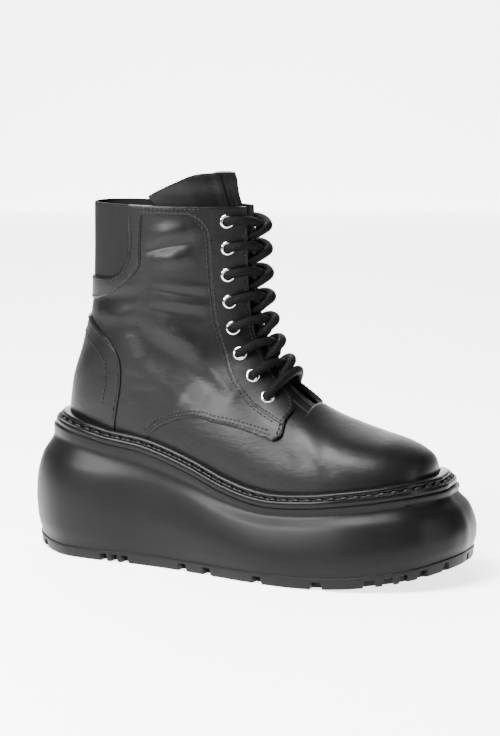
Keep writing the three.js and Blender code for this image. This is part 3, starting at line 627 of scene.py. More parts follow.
def cut_panel(name, t_span, turn_span, spacing, tests, lift, thickness, warp=None, creased=True):
    """Cuts a panel where every test is positive, and returns it as a closed shell."""
    t_line, turn_line = panel_grid(t_span, turn_span, spacing)
    t, turn = np.meshgrid(t_line, turn_line, indexing="ij")
    shape = t.shape
    t, turn = t.ravel(), turn.ravel()
    p = bare_point(t, turn)
    inside = np.min([test(p) for test in tests], axis=0)
    index = np.arange(t.size).reshape(shape)
    corners = [index[:-1, :-1], index[1:, :-1], index[1:, 1:], index[:-1, 1:]]
    corners = [corner.ravel() for corner in corners]
    cells = np.stack(corners, axis=1)[np.max([inside[c] for c in corners], axis=0) > -spacing]
    faces = [tuple(int(i) for i in cell) for cell in cells]
    for test in tests:
        t, turn, faces = clip_cells(t, turn, faces, test, spacing)
    used = np.unique(np.concatenate([np.array(face) for face in faces]))
    renumber = np.zeros(t.size, int)
    renumber[used] = np.arange(used.size)
    faces = [tuple(int(renumber[i]) for i in face) for face in faces]
    t, turn = t[used], turn[used]
    rim = np.zeros(len(t))
    rim[np.array(rim_of(faces)).ravel()] = 1.0
    bare = bare_point(t, turn)
    height = lift(bare) if callable(lift) else np.full(len(t), float(lift))
    top = surface(t, turn, height - rim * EDGE_DROP, creased)
    bottom = surface(t, turn, height - thickness, creased)
    if warp:
        top, bottom = warp(top), warp(bottom)
    piece = closed_shell(name, top, bottom, faces)
    shade(piece, 50)
    print(f"{name}: {len(piece.data.polygons)} faces")
    return piece


# %% [markdown]
# ## Seam lines
# The pattern of the upper: where the quarters end over the vamp, the edges of the
# facings, the gore and the counter. Each is a few places in the side view with a smooth
# line through them; a maker would draw the same lines on the last with a pencil.

# %% Lines of the pattern, x and z in millimetres
def smooth_line(points, steps=10):
    """A dense smooth line through a few places."""
    points = np.asarray(points, float)
    t = np.linspace(0, len(points) - 1, (len(points) - 1) * steps + 1)
    ends = 2 * points[0] - points[1], 2 * points[-1] - points[-2]
    columns = [spline(points[:, i], t, ends[0][i], ends[1][i]) for i in range(points.shape[1])]
    return np.stack(columns, axis=1)


def height_to_x(points):
    """Turns a line that only ever goes down, or only up, into x as a function of z."""
    line = smooth_line(points)
    order = np.argsort(line[:, 1])
    return lambda z: np.interp(z, line[order, 1], line[order, 0])


def x_to_height(points):
    line = smooth_line(points)
    order = np.argsort(line[:, 0])
    return lambda x: np.interp(x, line[order, 0], line[order, 1])


QUARTER_SEAM = [
    (-120, 40), (-75, 62), (-60, 76), (-54.5, 83), (-47, 89.5), (-36.5, 94.5), (-26, 97), (-16, 97),
    (-8, 95.5), (8, 93.5), (21.5, 90.5), (31.5, 88), (38, 86.5), (60, 82),
]
FLAP_FRONT = [      # height and half width of the throat
    (84, 38.5), (88, 34.5), (92, 31.5), (97.5, 27.5), (101.5, 23.5), (104.5, 19.5), (108, 16), (112, 13),
    (117, 11.5), (124, 11), (133, 10.5), (143, 9.5), (160, 8.5), (185, 8), (240, 8),
]
FACING_BACK = [
    (-44, 236), (-36, 229), (-29, 226), (-22.5, 222), (-18.5, 216), (-17.5, 208), (-17, 202), (-16, 182),
    (-14, 163), (-11, 150), (-6.5, 138.5), (-1.5, 127.5), (6, 117.5), (15.5, 108.5), (24.5, 103), (38, 96),
    (60, 86),
]
GORE_FRONT = [
    (-71, 245), (-71, 222), (-71, 205), (-73, 196), (-76.5, 189), (-82, 185), (-94, 183), (-150, 182.5),
]
GORE_BORDER = [
    (-61, 245), (-61, 226), (-62, 205), (-62.5, 193), (-67, 186.5), (-74, 180.5), (-83, 175), (-94, 170),
    (-108, 167.5), (-150, 166),
]
COUNTER_FRONT = [
    (-150, 158), (-112, 156.5), (-104, 154), (-95, 148.5), (-85, 142), (-78, 133.5), (-75.5, 124), (-76, 112),
    (-78.5, 98), (-80.5, 86), (-82, 60),
]
COLLAR_BAND = 226.0
seam_height = x_to_height(QUARTER_SEAM)
flap_line = smooth_line(FLAP_FRONT)
facing_x = height_to_x(FACING_BACK)
gore_x = height_to_x(GORE_FRONT)
gore_border_x = height_to_x(GORE_BORDER)
counter_x = height_to_x(COUNTER_FRONT)


def flap_half_width(z):
    return np.interp(z, flap_line[:, 0], flap_line[:, 1])


# %% Tests that say which side of a line a point is on
def below_collar(p):
    return COLLAR_HEIGHT - p[..., 2]


def above_welt(p):
    return p[..., 2] - footbed(p[..., 0]) - (WELT_HEIGHT - 4.5)


def beside_throat(p):
    return np.maximum(np.abs(p[..., 1]) - flap_half_width(p[..., 2]), -30 - p[..., 0])


def above_seam(p):
    return p[..., 2] - seam_height(p[..., 0])


def ahead_of_gore(p):
    return np.where(p[..., 2] > 181, p[..., 0] - gore_x(p[..., 2]), 2.0)


def in_gore(p):
    return np.minimum(gore_x(p[..., 2]) - p[..., 0] - 0.2, p[..., 2] - 183)


def in_counter(p):
    return counter_x(p[..., 2]) - p[..., 0]


def in_border(p):
    facing = p[..., 0] - facing_x(p[..., 2])
    collar = p[..., 2] - COLLAR_BAND
    gore = gore_border_x(p[..., 2]) - p[..., 0]
    return np.maximum(np.maximum(facing, collar), np.where(p[..., 2] > 165, gore, -5.0))


# %% [markdown]
# ## Leather, rubber and the rest
# Black leather is nearly black everywhere, so its look comes from gloss: a smooth
# finish coat, rougher in broad clouds where it was handled, with fine pores and hair
# creases in the bump. The platform is satin foam rubber with a faint mould texture.

# %% Finishes
def leather_finish(name, tone, roughness, grain=0.05):
    made = Finish(name, tone, roughness, Specular_IOR_Level=0.125)
    clouds = made.noise(34.0, 3.0)
    pores = made.node("ShaderNodeTexVoronoi", {"feature": "DISTANCE_TO_EDGE"},
                      {"Vector": made.place(), "Scale": 1.1})
    folds = made.noise(7.0, 5.0, (1.0, 1.0, 2.6), 0.6)
    fine = made.noise(0.9, 3.0)
    made.set("Base Color", made.between(clouds, tuple(0.75 * c for c in tone), tuple(1.45 * c for c in tone)))
    made.set("Roughness", clouds * 0.16 + (roughness - 0.08) + fine * 0.05)
    pore_bump = made.bump(pores, grain)
    fold_bump = made.bump(folds, 0.16, pore_bump)
    made.set("Normal", made.bump(fine, 0.03, fold_bump))
    return made


def rubber_finish(name, tone, roughness, texture):
    made = Finish(name, tone, roughness, Specular_IOR_Level=0.085)
    clouds = made.noise(60.0, 3.0)
    grain = made.noise(0.6, 2.0)
    scuffs = made.noise(9.0, 6.0, (0.25, 1.0, 1.0), 0.7)
    made.set("Base Color", made.between(clouds, tuple(0.85 * c for c in tone), tuple(1.2 * c for c in tone)))
    made.set("Roughness", scuffs * 0.12 + clouds * 0.08 + (roughness - 0.1))
    made.set("Normal", made.bump(grain, texture))
    return made


leather = leather_finish("black leather", (0.0022, 0.0022, 0.0023), 0.35)
tongue_leather = leather_finish("tongue leather", (0.0022, 0.0022, 0.0023), 0.36)
lining = Finish("lining", (0.0060, 0.0060, 0.0063), 0.8, Specular_IOR_Level=0.1, Sheen_Weight=0.03)
lining.set("Normal", lining.bump(lining.noise(0.7, 2.0), 0.08))
lining.set("Roughness", lining.noise(12.0) * 0.15 + 0.72)
platform_rubber = rubber_finish("platform rubber", (0.0026, 0.0026, 0.0027), 0.38, 0.03)
tread_rubber = rubber_finish("tread rubber", (0.0034, 0.0034, 0.0035), 0.45, 0.06)
welt_rubber = rubber_finish("welt rubber", (0.0025, 0.0025, 0.0026), 0.26, 0.02)
print("finishes:", len(bpy.data.materials))

# %% [markdown]
# ## Vamp
# The vamp covers the toes and runs back under the quarters. On the real boot it is one
# piece pulled over the last while damp, which is why it has no seams and hardly any
# folds. Its lower edge is hidden behind the welt.

# %% Vamp
VAMP_LIFT = -0.55


def in_vamp(p):
    beyond_flap = flap_half_width(p[..., 2]) - np.abs(p[..., 1])
    below_seam = seam_height(p[..., 0]) - p[..., 2]
    return np.maximum(beyond_flap, below_seam) + 5.0


def ahead_of_throat(p):
    return np.maximum(p[..., 0] - 49, np.abs(p[..., 1]) - 17)


vamp = cut_panel("vamp", (0.02, 10.6), (-2.9, 2.9), 1.5, [in_vamp, above_welt, ahead_of_throat],
                 VAMP_LIFT, 1.4)
dress(vamp, leather, lining)
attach(vamp, BODY)

# %% [markdown]
# ## Quarters
# The two quarters form the shaft and lie over the vamp. Their front flaps carry the
# eyelets and stand a little off the vamp, as the sewn edge of real leather does. Both
# are cut as one piece here, closed round the heel, and open at the throat and the gore.

# %% Quarters
SHAFT = (6.2, 16.6)                      # sections from the throat to the collar
ALL_ROUND = (0.08, 2 * math.pi - 0.08)
QUARTER_LIFT = 0.35
FLAP_LIFT = 1.5


def quarter_height(p):
    corner = np.sqrt((p[..., 0] - 37) ** 2 + (p[..., 2] - 88) ** 2)
    return QUARTER_LIFT + FLAP_LIFT * np.exp(-(corner / 17) ** 2)


quarter_tests = [above_seam, beside_throat, below_collar, above_welt, ahead_of_gore]
quarters = cut_panel("quarters", SHAFT, ALL_ROUND, 1.5, quarter_tests, quarter_height, 2.3)
dress(quarters, leather, lining)
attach(quarters, BODY)
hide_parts("upper")

# %% [markdown]
# ## Facings, collar band and gore border
# A second layer is sewn round the edges of the quarters: wide under the eyelets, narrow
# along the collar and round the gore. It is under a millimetre thick, but its edge
# catches the light, so it is real thickness and not a line in the finish.

# %% Border overlay
BORDER_THICKNESS = 0.8


def border_height(p):
    return quarter_height(p) + BORDER_THICKNESS


border_tests = [in_border, above_seam, beside_throat, below_collar, ahead_of_gore]
border = cut_panel("border_overlay", SHAFT, ALL_ROUND, 1.3, border_tests, border_height,
                   BORDER_THICKNESS + 0.2)
dress(border, leather, leather)
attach(border, BODY)

# %% [markdown]
# ## Heel counter
# A stiff patch outside the heel keeps the shaft from sagging. It wraps round the back
# from side to side, so it is cut as one panel across the back seam.

# %% Heel counter
COUNTER_LIFT = QUARTER_LIFT + 1.2
counter = cut_panel("heel_counter_leather", (9.0, 14.8), (1.2, 5.08), 1.3, [in_counter, above_welt],
                    COUNTER_LIFT, 1.4)
dress(counter, leather, leather)
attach(counter, BODY)
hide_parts("heel_counter")

# %% [markdown]
# ## Elastic gore
# The stretch panel behind the collar is woven elastic: fine upright ribs with rubber
# inside. It lies a little lower than the leather round it.

# %% Elastic gore
elastic = Finish("ribbed elastic", (0.0050, 0.0050, 0.0053), 0.8, Specular_IOR_Level=0.05)
rib_place = elastic.node("ShaderNodeTexCoord", out="UV")
ribs = elastic.node("ShaderNodeTexWave", {"wave_type": "BANDS", "bands_direction": "X"},
                    {"Vector": rib_place, "Scale": 1.0, "Distortion": 0.6, "Detail": 1.0})
elastic.set("Normal", elastic.bump(elastic.noise(0.5, 2.0, (1.0, 1.0, 3.0)), 0.06, elastic.bump(ribs, 0.06)))
elastic.set("Roughness", elastic.noise(10.0) * 0.15 + 0.6)
gore = cut_panel("elastic_gore_cloth", (12.5, 16.6), (1.2, 5.08), 1.4, [in_gore, below_collar], -0.15, 1.6)
rib_map = gore.data.uv_layers.new(name="ribs")
RIB_PITCH = 1.5
WAVE_LENGTH = 2 * math.pi / 20      # one wave of a band texture, in texture units
BACK_SEAM = -0.12                   # the ribs are counted from here, in metres
for loop in gore.data.loops:
    co = gore.data.vertices[loop.vertex_index].co
    ribs_along = math.copysign(1, co.y) * (co.x - BACK_SEAM) / (RIB_PITCH * MM)
    rib_map.data[loop.index].uv = (ribs_along * WAVE_LENGTH, co.z)
dress(gore, elastic, elastic)
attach(gore, BODY)
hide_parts("elastic_gore")

# %% [markdown]
# ## Insole
# The footbed seen down the shaft is a soft insole with a rounded edge. It lies on the
# platform and fills the last from side to side, just inside the upper.

# %% Insole
def bevelled_twin(node, name, width, smooth_angle):
    """A copy of a CAD piece in the same place, with its edges rounded."""
    piece = bpy.data.objects.new(name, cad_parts[node].data.copy())
    bpy.context.scene.collection.objects.link(piece)
    activate(piece)
    bpy.ops.object.mode_set(mode="EDIT")
    bpy.ops.mesh.select_all(action="SELECT")
    bpy.ops.mesh.remove_doubles(threshold=0.01 * MM)
    bpy.ops.object.mode_set(mode="OBJECT")
    finish_modifier(piece, "BEVEL", width=width * MM, segments=2, limit_method="ANGLE",
                    angle_limit=math.radians(40))
    shade(piece, smooth_angle)
    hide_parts(node)
    return piece


insole_cloth = Finish("insole cloth", (0.0080, 0.0079, 0.0079), 0.85, Specular_IOR_Level=0.1,
                      Sheen_Weight=0.03)
insole_cloth.set("Normal", insole_cloth.bump(insole_cloth.noise(0.6, 2.0), 0.1))
insole_cloth.set("Roughness", insole_cloth.noise(15.0) * 0.1 + 0.8)
insole = bevelled_twin("insole", "insole_cushion", 0.6, 50)
dress(insole, insole_cloth)
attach(insole, BODY)
print("insole faces:", len(insole.data.polygons))

# %% [markdown]
# ## Platform
# The platform is one moulding. Its wall has a lower belly, a hollow band below the
# ledge that carries the welt, and a bell at the forefoot. A box could be sculpted into
# it, but the ledge has to follow the footbed exactly. So rings of points go round the
# welt's outline, each blended from the walls at toe, ball, waist and heel, and are joined.

# %% Sole tables, millimetres
# x, half width to the outer side, half width to the inner side
WELT_OUTLINE = (
    (134.5, 4, 4), (131, 14.5, 23.5), (121, 29, 37), (106, 38, 45), (86, 44.5, 49.5), (62, 47, 49.5),
    (36, 46.5, 46), (8, 44, 40), (-22, 41, 35), (-54, 38.5, 33), (-84, 37.5, 33.5), (-108, 34, 31.5),
    (-124, 24, 22.5), (-131, 12, 11), (-132.5, 0, 0),
)
# share of the height, then how far the wall stands out at the toe, the ball, the waist,
# the heel's outer side, the heel's inner side and the back
PLATFORM_WALL = (
    (0.00, 15.5, 12.2, 7.0, 9.0, 3.0, 15.5), (0.14, 17.2, 12.8, 8.3, 11.8, 7.6, 17.7),
    (0.34, 17.4, 12.1, 8.7, 12.9, 11.5, 18.6), (0.54, 15.4, 10.2, 7.4, 12.3, 12.4, 17.4),
    (0.72, 11.9, 7.7, 5.4, 9.8, 10.4, 13.6), (0.88, 5.6, 3.8, 3.4, 4.8, 5.0, 6.4),
    (0.94, 6.0, 4.6, 4.2, 4.8, 4.8, 6.0), (1.10, 6.0, 4.6, 4.2, 4.8, 4.8, 6.0),
)
# x and how far the sole's underside lifts off the floor
ROCKER = (
    (-170, 9), (-150, 5.5), (-132, 2), (-112, 0), (56, 0), (80, 1), (105, 3.5), (130, 8), (170, 18),
)


# %% Outline and wall of the sole
def rocker(x):
    return np.maximum(smooth(ROCKER, np.asarray(x, float)), 0)


def ease(x, low, high):
    k = np.clip((x - low) / (high - low), 0, 1)
    return k * k * (3 - 2 * k)


def outline_loop(count):
    """Even points and outward normals round the welt's edge, from the toe along the outer side."""
    outer = [(x, -reach) for x, reach, _ in WELT_OUTLINE]
    inner = [(x, reach) for x, _, reach in WELT_OUTLINE[-2::-1]]
    ring = np.array(outer + inner, float)
    size = len(ring)
    t = np.linspace(0, size, size * 60, endpoint=False)
    i = np.floor(t).astype(int)
    k = (t - i)[:, None]
    a, b, c, d = ring[(i - 1) % size], ring[i % size], ring[(i + 1) % size], ring[(i + 2) % size]
    dense = b + 0.5 * k * (c - a + k * (2 * a - 5 * b + 4 * c - d + k * (3 * (b - c) + d - a)))
    closed = np.vstack([dense, dense[:1]])
    run = np.concatenate([[0], np.cumsum(np.linalg.norm(np.diff(closed, axis=0), axis=1))])
    even = np.linspace(0, run[-1], count, endpoint=False)
    points = np.stack([np.interp(even, run, closed[:, j]) for j in (0, 1)], axis=1)
    ahead = np.roll(points, -1, axis=0) - np.roll(points, 1, axis=0)
    ahead /= np.linalg.norm(ahead, axis=1, keepdims=True)
    return points, np.stack([-ahead[:, 1], ahead[:, 0]], axis=1), run[-1]


def wall_out(share, points, outward):
    """How far the platform wall stands out of the welt line."""
    toe, ball, waist, heel_outer, heel_inner, back = (smooth(PLATFORM_WALL, share, i) for i in range(1, 7))
    forward = ease(points[:, 0], -40, 50)
    rear = 1 - ease(points[:, 0], -105, -40)
    end = np.abs(outward[:, 0]) ** 1.3
    side = np.where(points[:, 1] < 0, heel_outer, heel_inner)
    flank = ball * forward + (1 - forward) * (waist * (1 - rear) + side * rear)
    tip = np.where(outward[:, 0] > 0, toe, back)
    return flank * (1 - end) + tip * end


def wall_ring(share, points, outward, inset=0.0):
    """One ring of the wall at this share of the height between parting and ledge."""
    out = wall_out(np.full(len(points), share), points, outward) - inset
    spot = points + outward * out[:, None]
    low = TREAD_HEIGHT + rocker(spot[:, 0])
    high = footbed(points[:, 0])
    return np.column_stack([spot, low + share * (high - low)])


# %% A skin over rings
def loft(name, rings, capped=True):
    """A skin over rings of points, with a flat face over each end."""
    rings = np.asarray(rings)
    rows, count = rings.shape[:2]
    points = rings.reshape(-1, 3)
    base = np.arange(rows * count).reshape(rows, count)
    nxt = np.roll(base, -1, axis=1)
    faces = [tuple(f) for f in np.stack([base[:-1], nxt[:-1], nxt[1:], base[1:]], axis=-1).reshape(-1, 4)]
    piece = mesh_piece(name, points, faces)
    if capped:
        activate(piece)
        bpy.ops.object.mode_set(mode="EDIT")
        bpy.ops.mesh.select_mode(type="EDGE")
        bpy.ops.mesh.select_all(action="DESELECT")
        bpy.ops.mesh.select_non_manifold()
        bpy.ops.mesh.edge_face_add()
        face_outwards(piece)
    return piece


# %% Platform
OUTLINE_COUNT = 560
outline, outward, outline_length = outline_loop(OUTLINE_COUNT)
WALL_SHARES = np.concatenate([np.linspace(0, 0.86, 26), np.linspace(0.88, 0.985, 6)])
wall = [wall_ring(share, outline, outward) for share in WALL_SHARES]
foot_line = wall_ring(0.0, outline, outward, 1.2)
foot_line[:, 2] += 0.2
ledge = wall_ring(0.999, outline, outward, 1.2)
lid = wall_ring(0.999, outline, outward, 12.0)
sole_pad = wall_ring(0.0, outline, outward, 12.0)
sole_pad[:, 2] += 0.2
platform = loft("platform_block", [sole_pad, foot_line, *wall, ledge, lid])
shade(platform, 40)
dress(platform, platform_rubber)
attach(platform, BODY)
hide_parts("platform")
print("outline length, mm:", round(outline_length, 1))

# %% [markdown]
# ## Outsole
# A harder rubber tread closes the platform's underside. Its side shows groups of
# notches, five towards the toe, four at the arch and two groups at the heel. Each is a
# groove cut in from the side. The pattern under the sole, hidden when the boot stands,
# follows these grooves inwards.

# %% Notches: distance from the toe along the foot of the wall, width, millimetres
NOTCHES = (
    (13, 4), (31, 6.5), (44, 4.5), (54, 6), (66, 7), (101, 7.5), (143, 6.5), (183, 6), (203, 6),
    (248, 5), (256, 4.5), (264, 4.5), (319, 4.5), (334, 3.5), (345, 3),
)
OUTER_PATH = 358.5
INNER_PATH = 354
INNER_SHIFT = -2


def groove_depth(distance, side_shift):
    """How deep the nearest notch cuts, from 0 to 1, at distances along the side."""
    depth = np.zeros_like(distance)
    for at, width in NOTCHES:
        centre = at + (side_shift if at > 230 else 0)
        depth = np.maximum(depth, 1 - ease(np.abs(distance - centre), width / 2 - 0.35, width / 2 + 0.55))
    return depth


TREAD_COUNT = 1400
tread_line, tread_out, _ = outline_loop(TREAD_COUNT)
foot = wall_ring(0.0, tread_line, tread_out)
closed_foot = np.vstack([foot[:, :2], foot[:1, :2]])
run = np.concatenate([[0], np.cumsum(np.linalg.norm(np.diff(closed_foot, axis=0), axis=1))])
heel_at = run[int(np.argmin(foot[:, 0]))]
on_outer = run[:-1] <= heel_at
outer_share = run[:-1] / heel_at
inner_share = (run[-1] - run[:-1]) / (run[-1] - heel_at)
distance = np.where(on_outer, outer_share * OUTER_PATH, inner_share * INNER_PATH)
notch_mask = np.where(on_outer, groove_depth(distance, 0), groove_depth(distance, INNER_SHIFT))


def tread_ring(inset, height, cut):
    """A ring of the tread; cut 1 opens the grooves from below, cut 0 leaves it whole."""
    out = wall_out(np.zeros(TREAD_COUNT), tread_line, tread_out) - inset
    spot = tread_line + tread_out * out[:, None]
    lift = rocker(spot[:, 0])
    return np.column_stack([spot, lift + height + cut * notch_mask * NOTCH_DEPTH])


rim = TREAD_HEIGHT
tread_rings = [
    tread_ring(14, rim - 0.1, 0), tread_ring(0.2, rim - 0.1, 0), tread_ring(-0.5, rim - 0.7, 0),
    tread_ring(-0.6, rim - 1.4, 0), tread_ring(-0.3, rim - 2.4, 0),
    tread_ring(0.1, 1.0, 1), tread_ring(0.6, 0.2, 1), tread_ring(1.4, 0.0, 1), tread_ring(4.0, 0.0, 1),
    tread_ring(6.6, 0.0, 1), tread_ring(7.0, 0.0, 0), tread_ring(12.0, 0.0, 0), tread_ring(12.6, 1.6, 0),
    tread_ring(16.0, 1.6, 0),
]
outsole = loft("outsole_tread", tread_rings[::-1])
shade(outsole, 35)
dress(outsole, tread_rubber)
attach(outsole, BODY)
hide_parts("outsole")

# %% [markdown]
# ## Welt
# The welt is a strip of glossy rubber round the join of upper and platform: a rounded
# bead against the leather, a groove with stitches, and a low ledge beyond. One profile
# is swept round the outline, so the strip keeps its shape all the way.

# %% Welt
# distance out of the welt line and share of the welt's height
WELT_PROFILE = (
    (-6.0, -0.06), (-6.0, 0.98), (-4.6, 1.0), (-0.9, 1.0), (-0.2, 0.96), (0.2, 0.86), (0.3, 0.74),
    (0.1, 0.62), (0.1, 0.56), (0.5, 0.5), (1.1, 0.47), (1.8, 0.47), (2.3, 0.5), (2.9, 0.54), (3.7, 0.5),
    (4.1, 0.38), (4.2, 0.2), (4.0, 0.02), (3.6, -0.06),
)


def welt_ring(out, share):
    spot = outline + outward * out
    return np.column_stack([spot, footbed(outline[:, 0]) + share * WELT_HEIGHT])


welt_rings = [welt_ring(out, share) for out, share in WELT_PROFILE]
welt = loft("welt_strip", welt_rings + welt_rings[:1], capped=False)
face_outwards(welt, 0.01)
shade(welt, 40)
dress(welt, welt_rubber)
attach(welt, BODY)
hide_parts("welt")

# %% [markdown]
# ## Stitches
# Every seam is sewn with thick black thread. One stitch is a short rounded bar that
# dips into the leather at both ends. Hundreds of copies set by hand would be slow, so
# one bar's few corners are worked out and repeated along a line on the last, joined
# into one piece; each line is an edge of the pattern moved inwards.

# %% Rows of stitches
thread_finish = Finish("waxed thread", (0.0020, 0.0020, 0.0021), 0.5, Specular_IOR_Level=0.2)
thread_finish.set("Roughness", thread_finish.noise(2.0) * 0.2 + 0.34)
thread_finish.set("Normal", thread_finish.bump(thread_finish.noise(0.3, 2.0, (1.0, 1.0, 3.0)), 0.04))

STITCH_LENGTH = 2.1
STITCH_GAP = 0.75
THREAD_RADIUS = 0.42
STITCH_RISE = 0.2


def find_on_last(points, side, axis=0):
    """Stations and turns of places given by z and by x, or for axis 1 by z and y."""
    grid_t = np.linspace(3.0, 17.0, 420)
    grid_turn = np.linspace(0.02, 1.5 if axis == 1 else math.pi - 0.02, 260)
    if side == INNER:
        grid_turn = 2 * math.pi - grid_turn
    tt, aa = np.meshgrid(grid_t, grid_turn, indexing="ij")
    cloud = bare_point(tt, aa).reshape(-1, 3)
    found = []
    for across, z in points:
        found.append(int(np.argmin((cloud[:, axis] - across) ** 2 + (cloud[:, 2] - z) ** 2)))
    t, turn = tt.ravel()[found], aa.ravel()[found]
    target = np.asarray(points)
    small = 1e-3
    for _ in range(4):
        p = bare_point(t, turn)
        by_t = (bare_point(t + small, turn) - p) / small
        by_turn = (bare_point(t, turn + small) - p) / small
        gap, gap_z = target[:, 0] - p[:, axis], target[:, 1] - p[:, 2]
        det = by_t[:, axis] * by_turn[:, 2] - by_t[:, 2] * by_turn[:, axis]
        det = np.where(np.abs(det) < 1e-3, 1e-3, det)
        move_t = (gap * by_turn[:, 2] - gap_z * by_turn[:, axis]) / det
        move_turn = (by_t[:, axis] * gap_z - by_t[:, 2] * gap) / det
        t = np.clip(t + np.clip(move_t, -0.1, 0.1), 0.05, 16.95)
        turn = turn + np.clip(move_turn, -0.1, 0.1)
    return t, turn


def even_walk(points, pitch):
    """Even steps along a dense line of points."""
    run = np.concatenate([[0], np.cumsum(np.linalg.norm(np.diff(points, axis=0), axis=1))])
    steps = np.arange(pitch / 2, run[-1] - pitch / 2, pitch)
    return np.stack([np.interp(steps, run, points[:, i]) for i in range(points.shape[1])], axis=1)


def directions(points):
    """Unit vectors along a line of points."""
    ahead = np.gradient(points, axis=0)
    return ahead / np.linalg.norm(ahead, axis=1, keepdims=True)


# %% Many small bars as one piece
# one bar: place along it, size and hump, as shares of its length and radius
BAR_SHAPE = (
    (-0.5, 0.25, -0.55), (-0.36, 0.85, -0.1), (0.0, 1.0, 0.25), (0.36, 0.85, -0.1), (0.5, 0.25, -0.55),
)
BAR_SIDES = 6


def capsule_rows(name, starts, ends, ups, radius, finish=thread_finish):
    """One joined piece of rounded bars between pairs of points, each humped outwards."""
    middle = (starts + ends) / 2
    along = ends - starts
    along /= np.linalg.norm(along, axis=1, keepdims=True)
    across = np.cross(along, ups)
    across /= np.linalg.norm(across, axis=1, keepdims=True)
    up = np.cross(across, along)
    length = np.linalg.norm(ends - starts, axis=1, keepdims=True)
    sides = BAR_SIDES
    points, faces = [], []
    count = len(starts)
    for along_at, size, rise in BAR_SHAPE:
        for k in range(sides):
            angle = 2 * math.pi * k / sides
            points.append(middle + along * length * along_at
                          + radius * (size * math.cos(angle) * across + (rise + size * math.sin(angle)) * up))
    points = np.stack(points, axis=1)
    per = points.shape[1]
    for ring in range(len(BAR_SHAPE) - 1):
        for k in range(sides):
            a, b = ring * sides + k, ring * sides + (k + 1) % sides
            faces.append((b, a, a + sides, b + sides))
    one = np.array(faces)
    quads = (one[None] + per * np.arange(count)[:, None, None]).reshape(-1, 4)
    caps = []
    for base in range(0, count * per, per):
        caps.append(tuple(range(base, base + sides)))
        caps.append(tuple(reversed(range(base + per - sides, base + per))))
    piece = mesh_piece(name, points.reshape(-1, 3), [tuple(q) for q in quads] + caps)
    face_outwards(piece)
    shade(piece, 70)
    dress(piece, finish)
    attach(piece, BODY)
    return piece


def stitch_row(line, side, height, axis=0):
    """Ends and normals of stitches along a side-view line, or a front-view one for axis 1."""
    t, turn = find_on_last(line, side, axis)
    lift = height(bare_point(t, turn)) if callable(height) else height
    points = surface(t, turn, lift)
    walk = even_walk(np.column_stack([points, t, turn]), STITCH_LENGTH + STITCH_GAP)
    middle, t, turn = walk[:, :3], walk[:, 3], walk[:, 4]
    half = directions(middle) * STITCH_LENGTH / 2
    return middle - half, middle + half, normals(t, turn)


def offset_line(points, distance):
    """A pattern line moved sideways in the side view."""
    line = smooth_line(points)
    ahead = directions(line)
    return line + distance * np.column_stack([-ahead[:, 1], ahead[:, 0]])


def on_border(p):
    return border_height(p) + STITCH_RISE


def on_quarter(p):
    return quarter_height(p) + STITCH_RISE


def within(line, column, low, high):
    return line[(line[:, column] > low) & (line[:, column] < high)]


# %% All rows on the upper
X, Z = 0, 1
ON_COUNTER = COUNTER_LIFT + STITCH_RISE
rows = []
for side in (OUTER, INNER):
    facing_rows = within(offset_line(FACING_BACK, 1.3), Z, 96, 226)
    rows.append(stitch_row(facing_rows, side, on_border))
    facing_rows = within(offset_line(FACING_BACK, -1.2), Z, 96, 223)
    rows.append(stitch_row(facing_rows, side, on_quarter))
    for away, end in ((2.2, 33), (4.4, 31)):
        seam = within(offset_line(QUARTER_SEAM, away), X, -58, end)
        rows.append(stitch_row(seam, side, on_quarter))
    for line, away in ((GORE_FRONT, 1.8), (GORE_BORDER, -1.4)):
        gore_row = within(within(offset_line(line, away), X, -126, 0), Z, 0, 226)
        rows.append(stitch_row(gore_row, side, on_border))
    for away, back, low in ((-1.8, -126, 90), (-11.0, -112, 97)):
        counter_row = within(within(offset_line(COUNTER_FRONT, away), X, back, 0), Z, low, 250)
        rows.append(stitch_row(counter_row, side, ON_COUNTER))
    edge = within(flap_line, 0, 90, 226)
    away = edge[:, 1] + np.interp(edge[:, 0], (90, 118), (0.6, 1.8))
    away = -away if side == OUTER else away
    rows.append(stitch_row(np.column_stack([away, edge[:, 0]]), side, on_border, axis=1))
    for front, height, places in ((-32, COLLAR_BAND + 1.2, 20), (-19, COLLAR_HEIGHT - 1.6, 24)):
        band = np.column_stack([np.linspace(-60, front, places), np.full(places, height)])
        rows.append(stitch_row(band, side, on_border))
starts = np.concatenate([r[0] for r in rows])
ends = np.concatenate([r[1] for r in rows])
ups = np.concatenate([r[2] for r in rows])
capsule_rows("stitches_upper", starts, ends, ups, THREAD_RADIUS)
print("stitches on the upper:", len(starts))

# %% Welt stitches
WELT_STITCH = 5.6
WELT_PITCH = 8.0
WELT_THREAD = 0.9
STITCH_GROOVE = (1.6, 0.58)      # out of the welt line, share of the welt's height
groove = welt_ring(*STITCH_GROOVE)
middle = even_walk(np.vstack([groove, groove[:1]]), WELT_PITCH)
half = directions(middle) * WELT_STITCH / 2
upwards = np.tile([0.0, 0.0, 1.0], (len(middle), 1))
capsule_rows("stitches_welt", middle - half, middle + half, upwards, WELT_THREAD)
print("stitches on the welt:", len(middle))

# %% [markdown]
# ## Tongue
# The tongue shows in the throat and stands above the collar. It is soft leather, so it
# buckles into long upright folds between the laces, and its free top falls back a
# little into the shaft. Its lower end is sewn under the vamp.

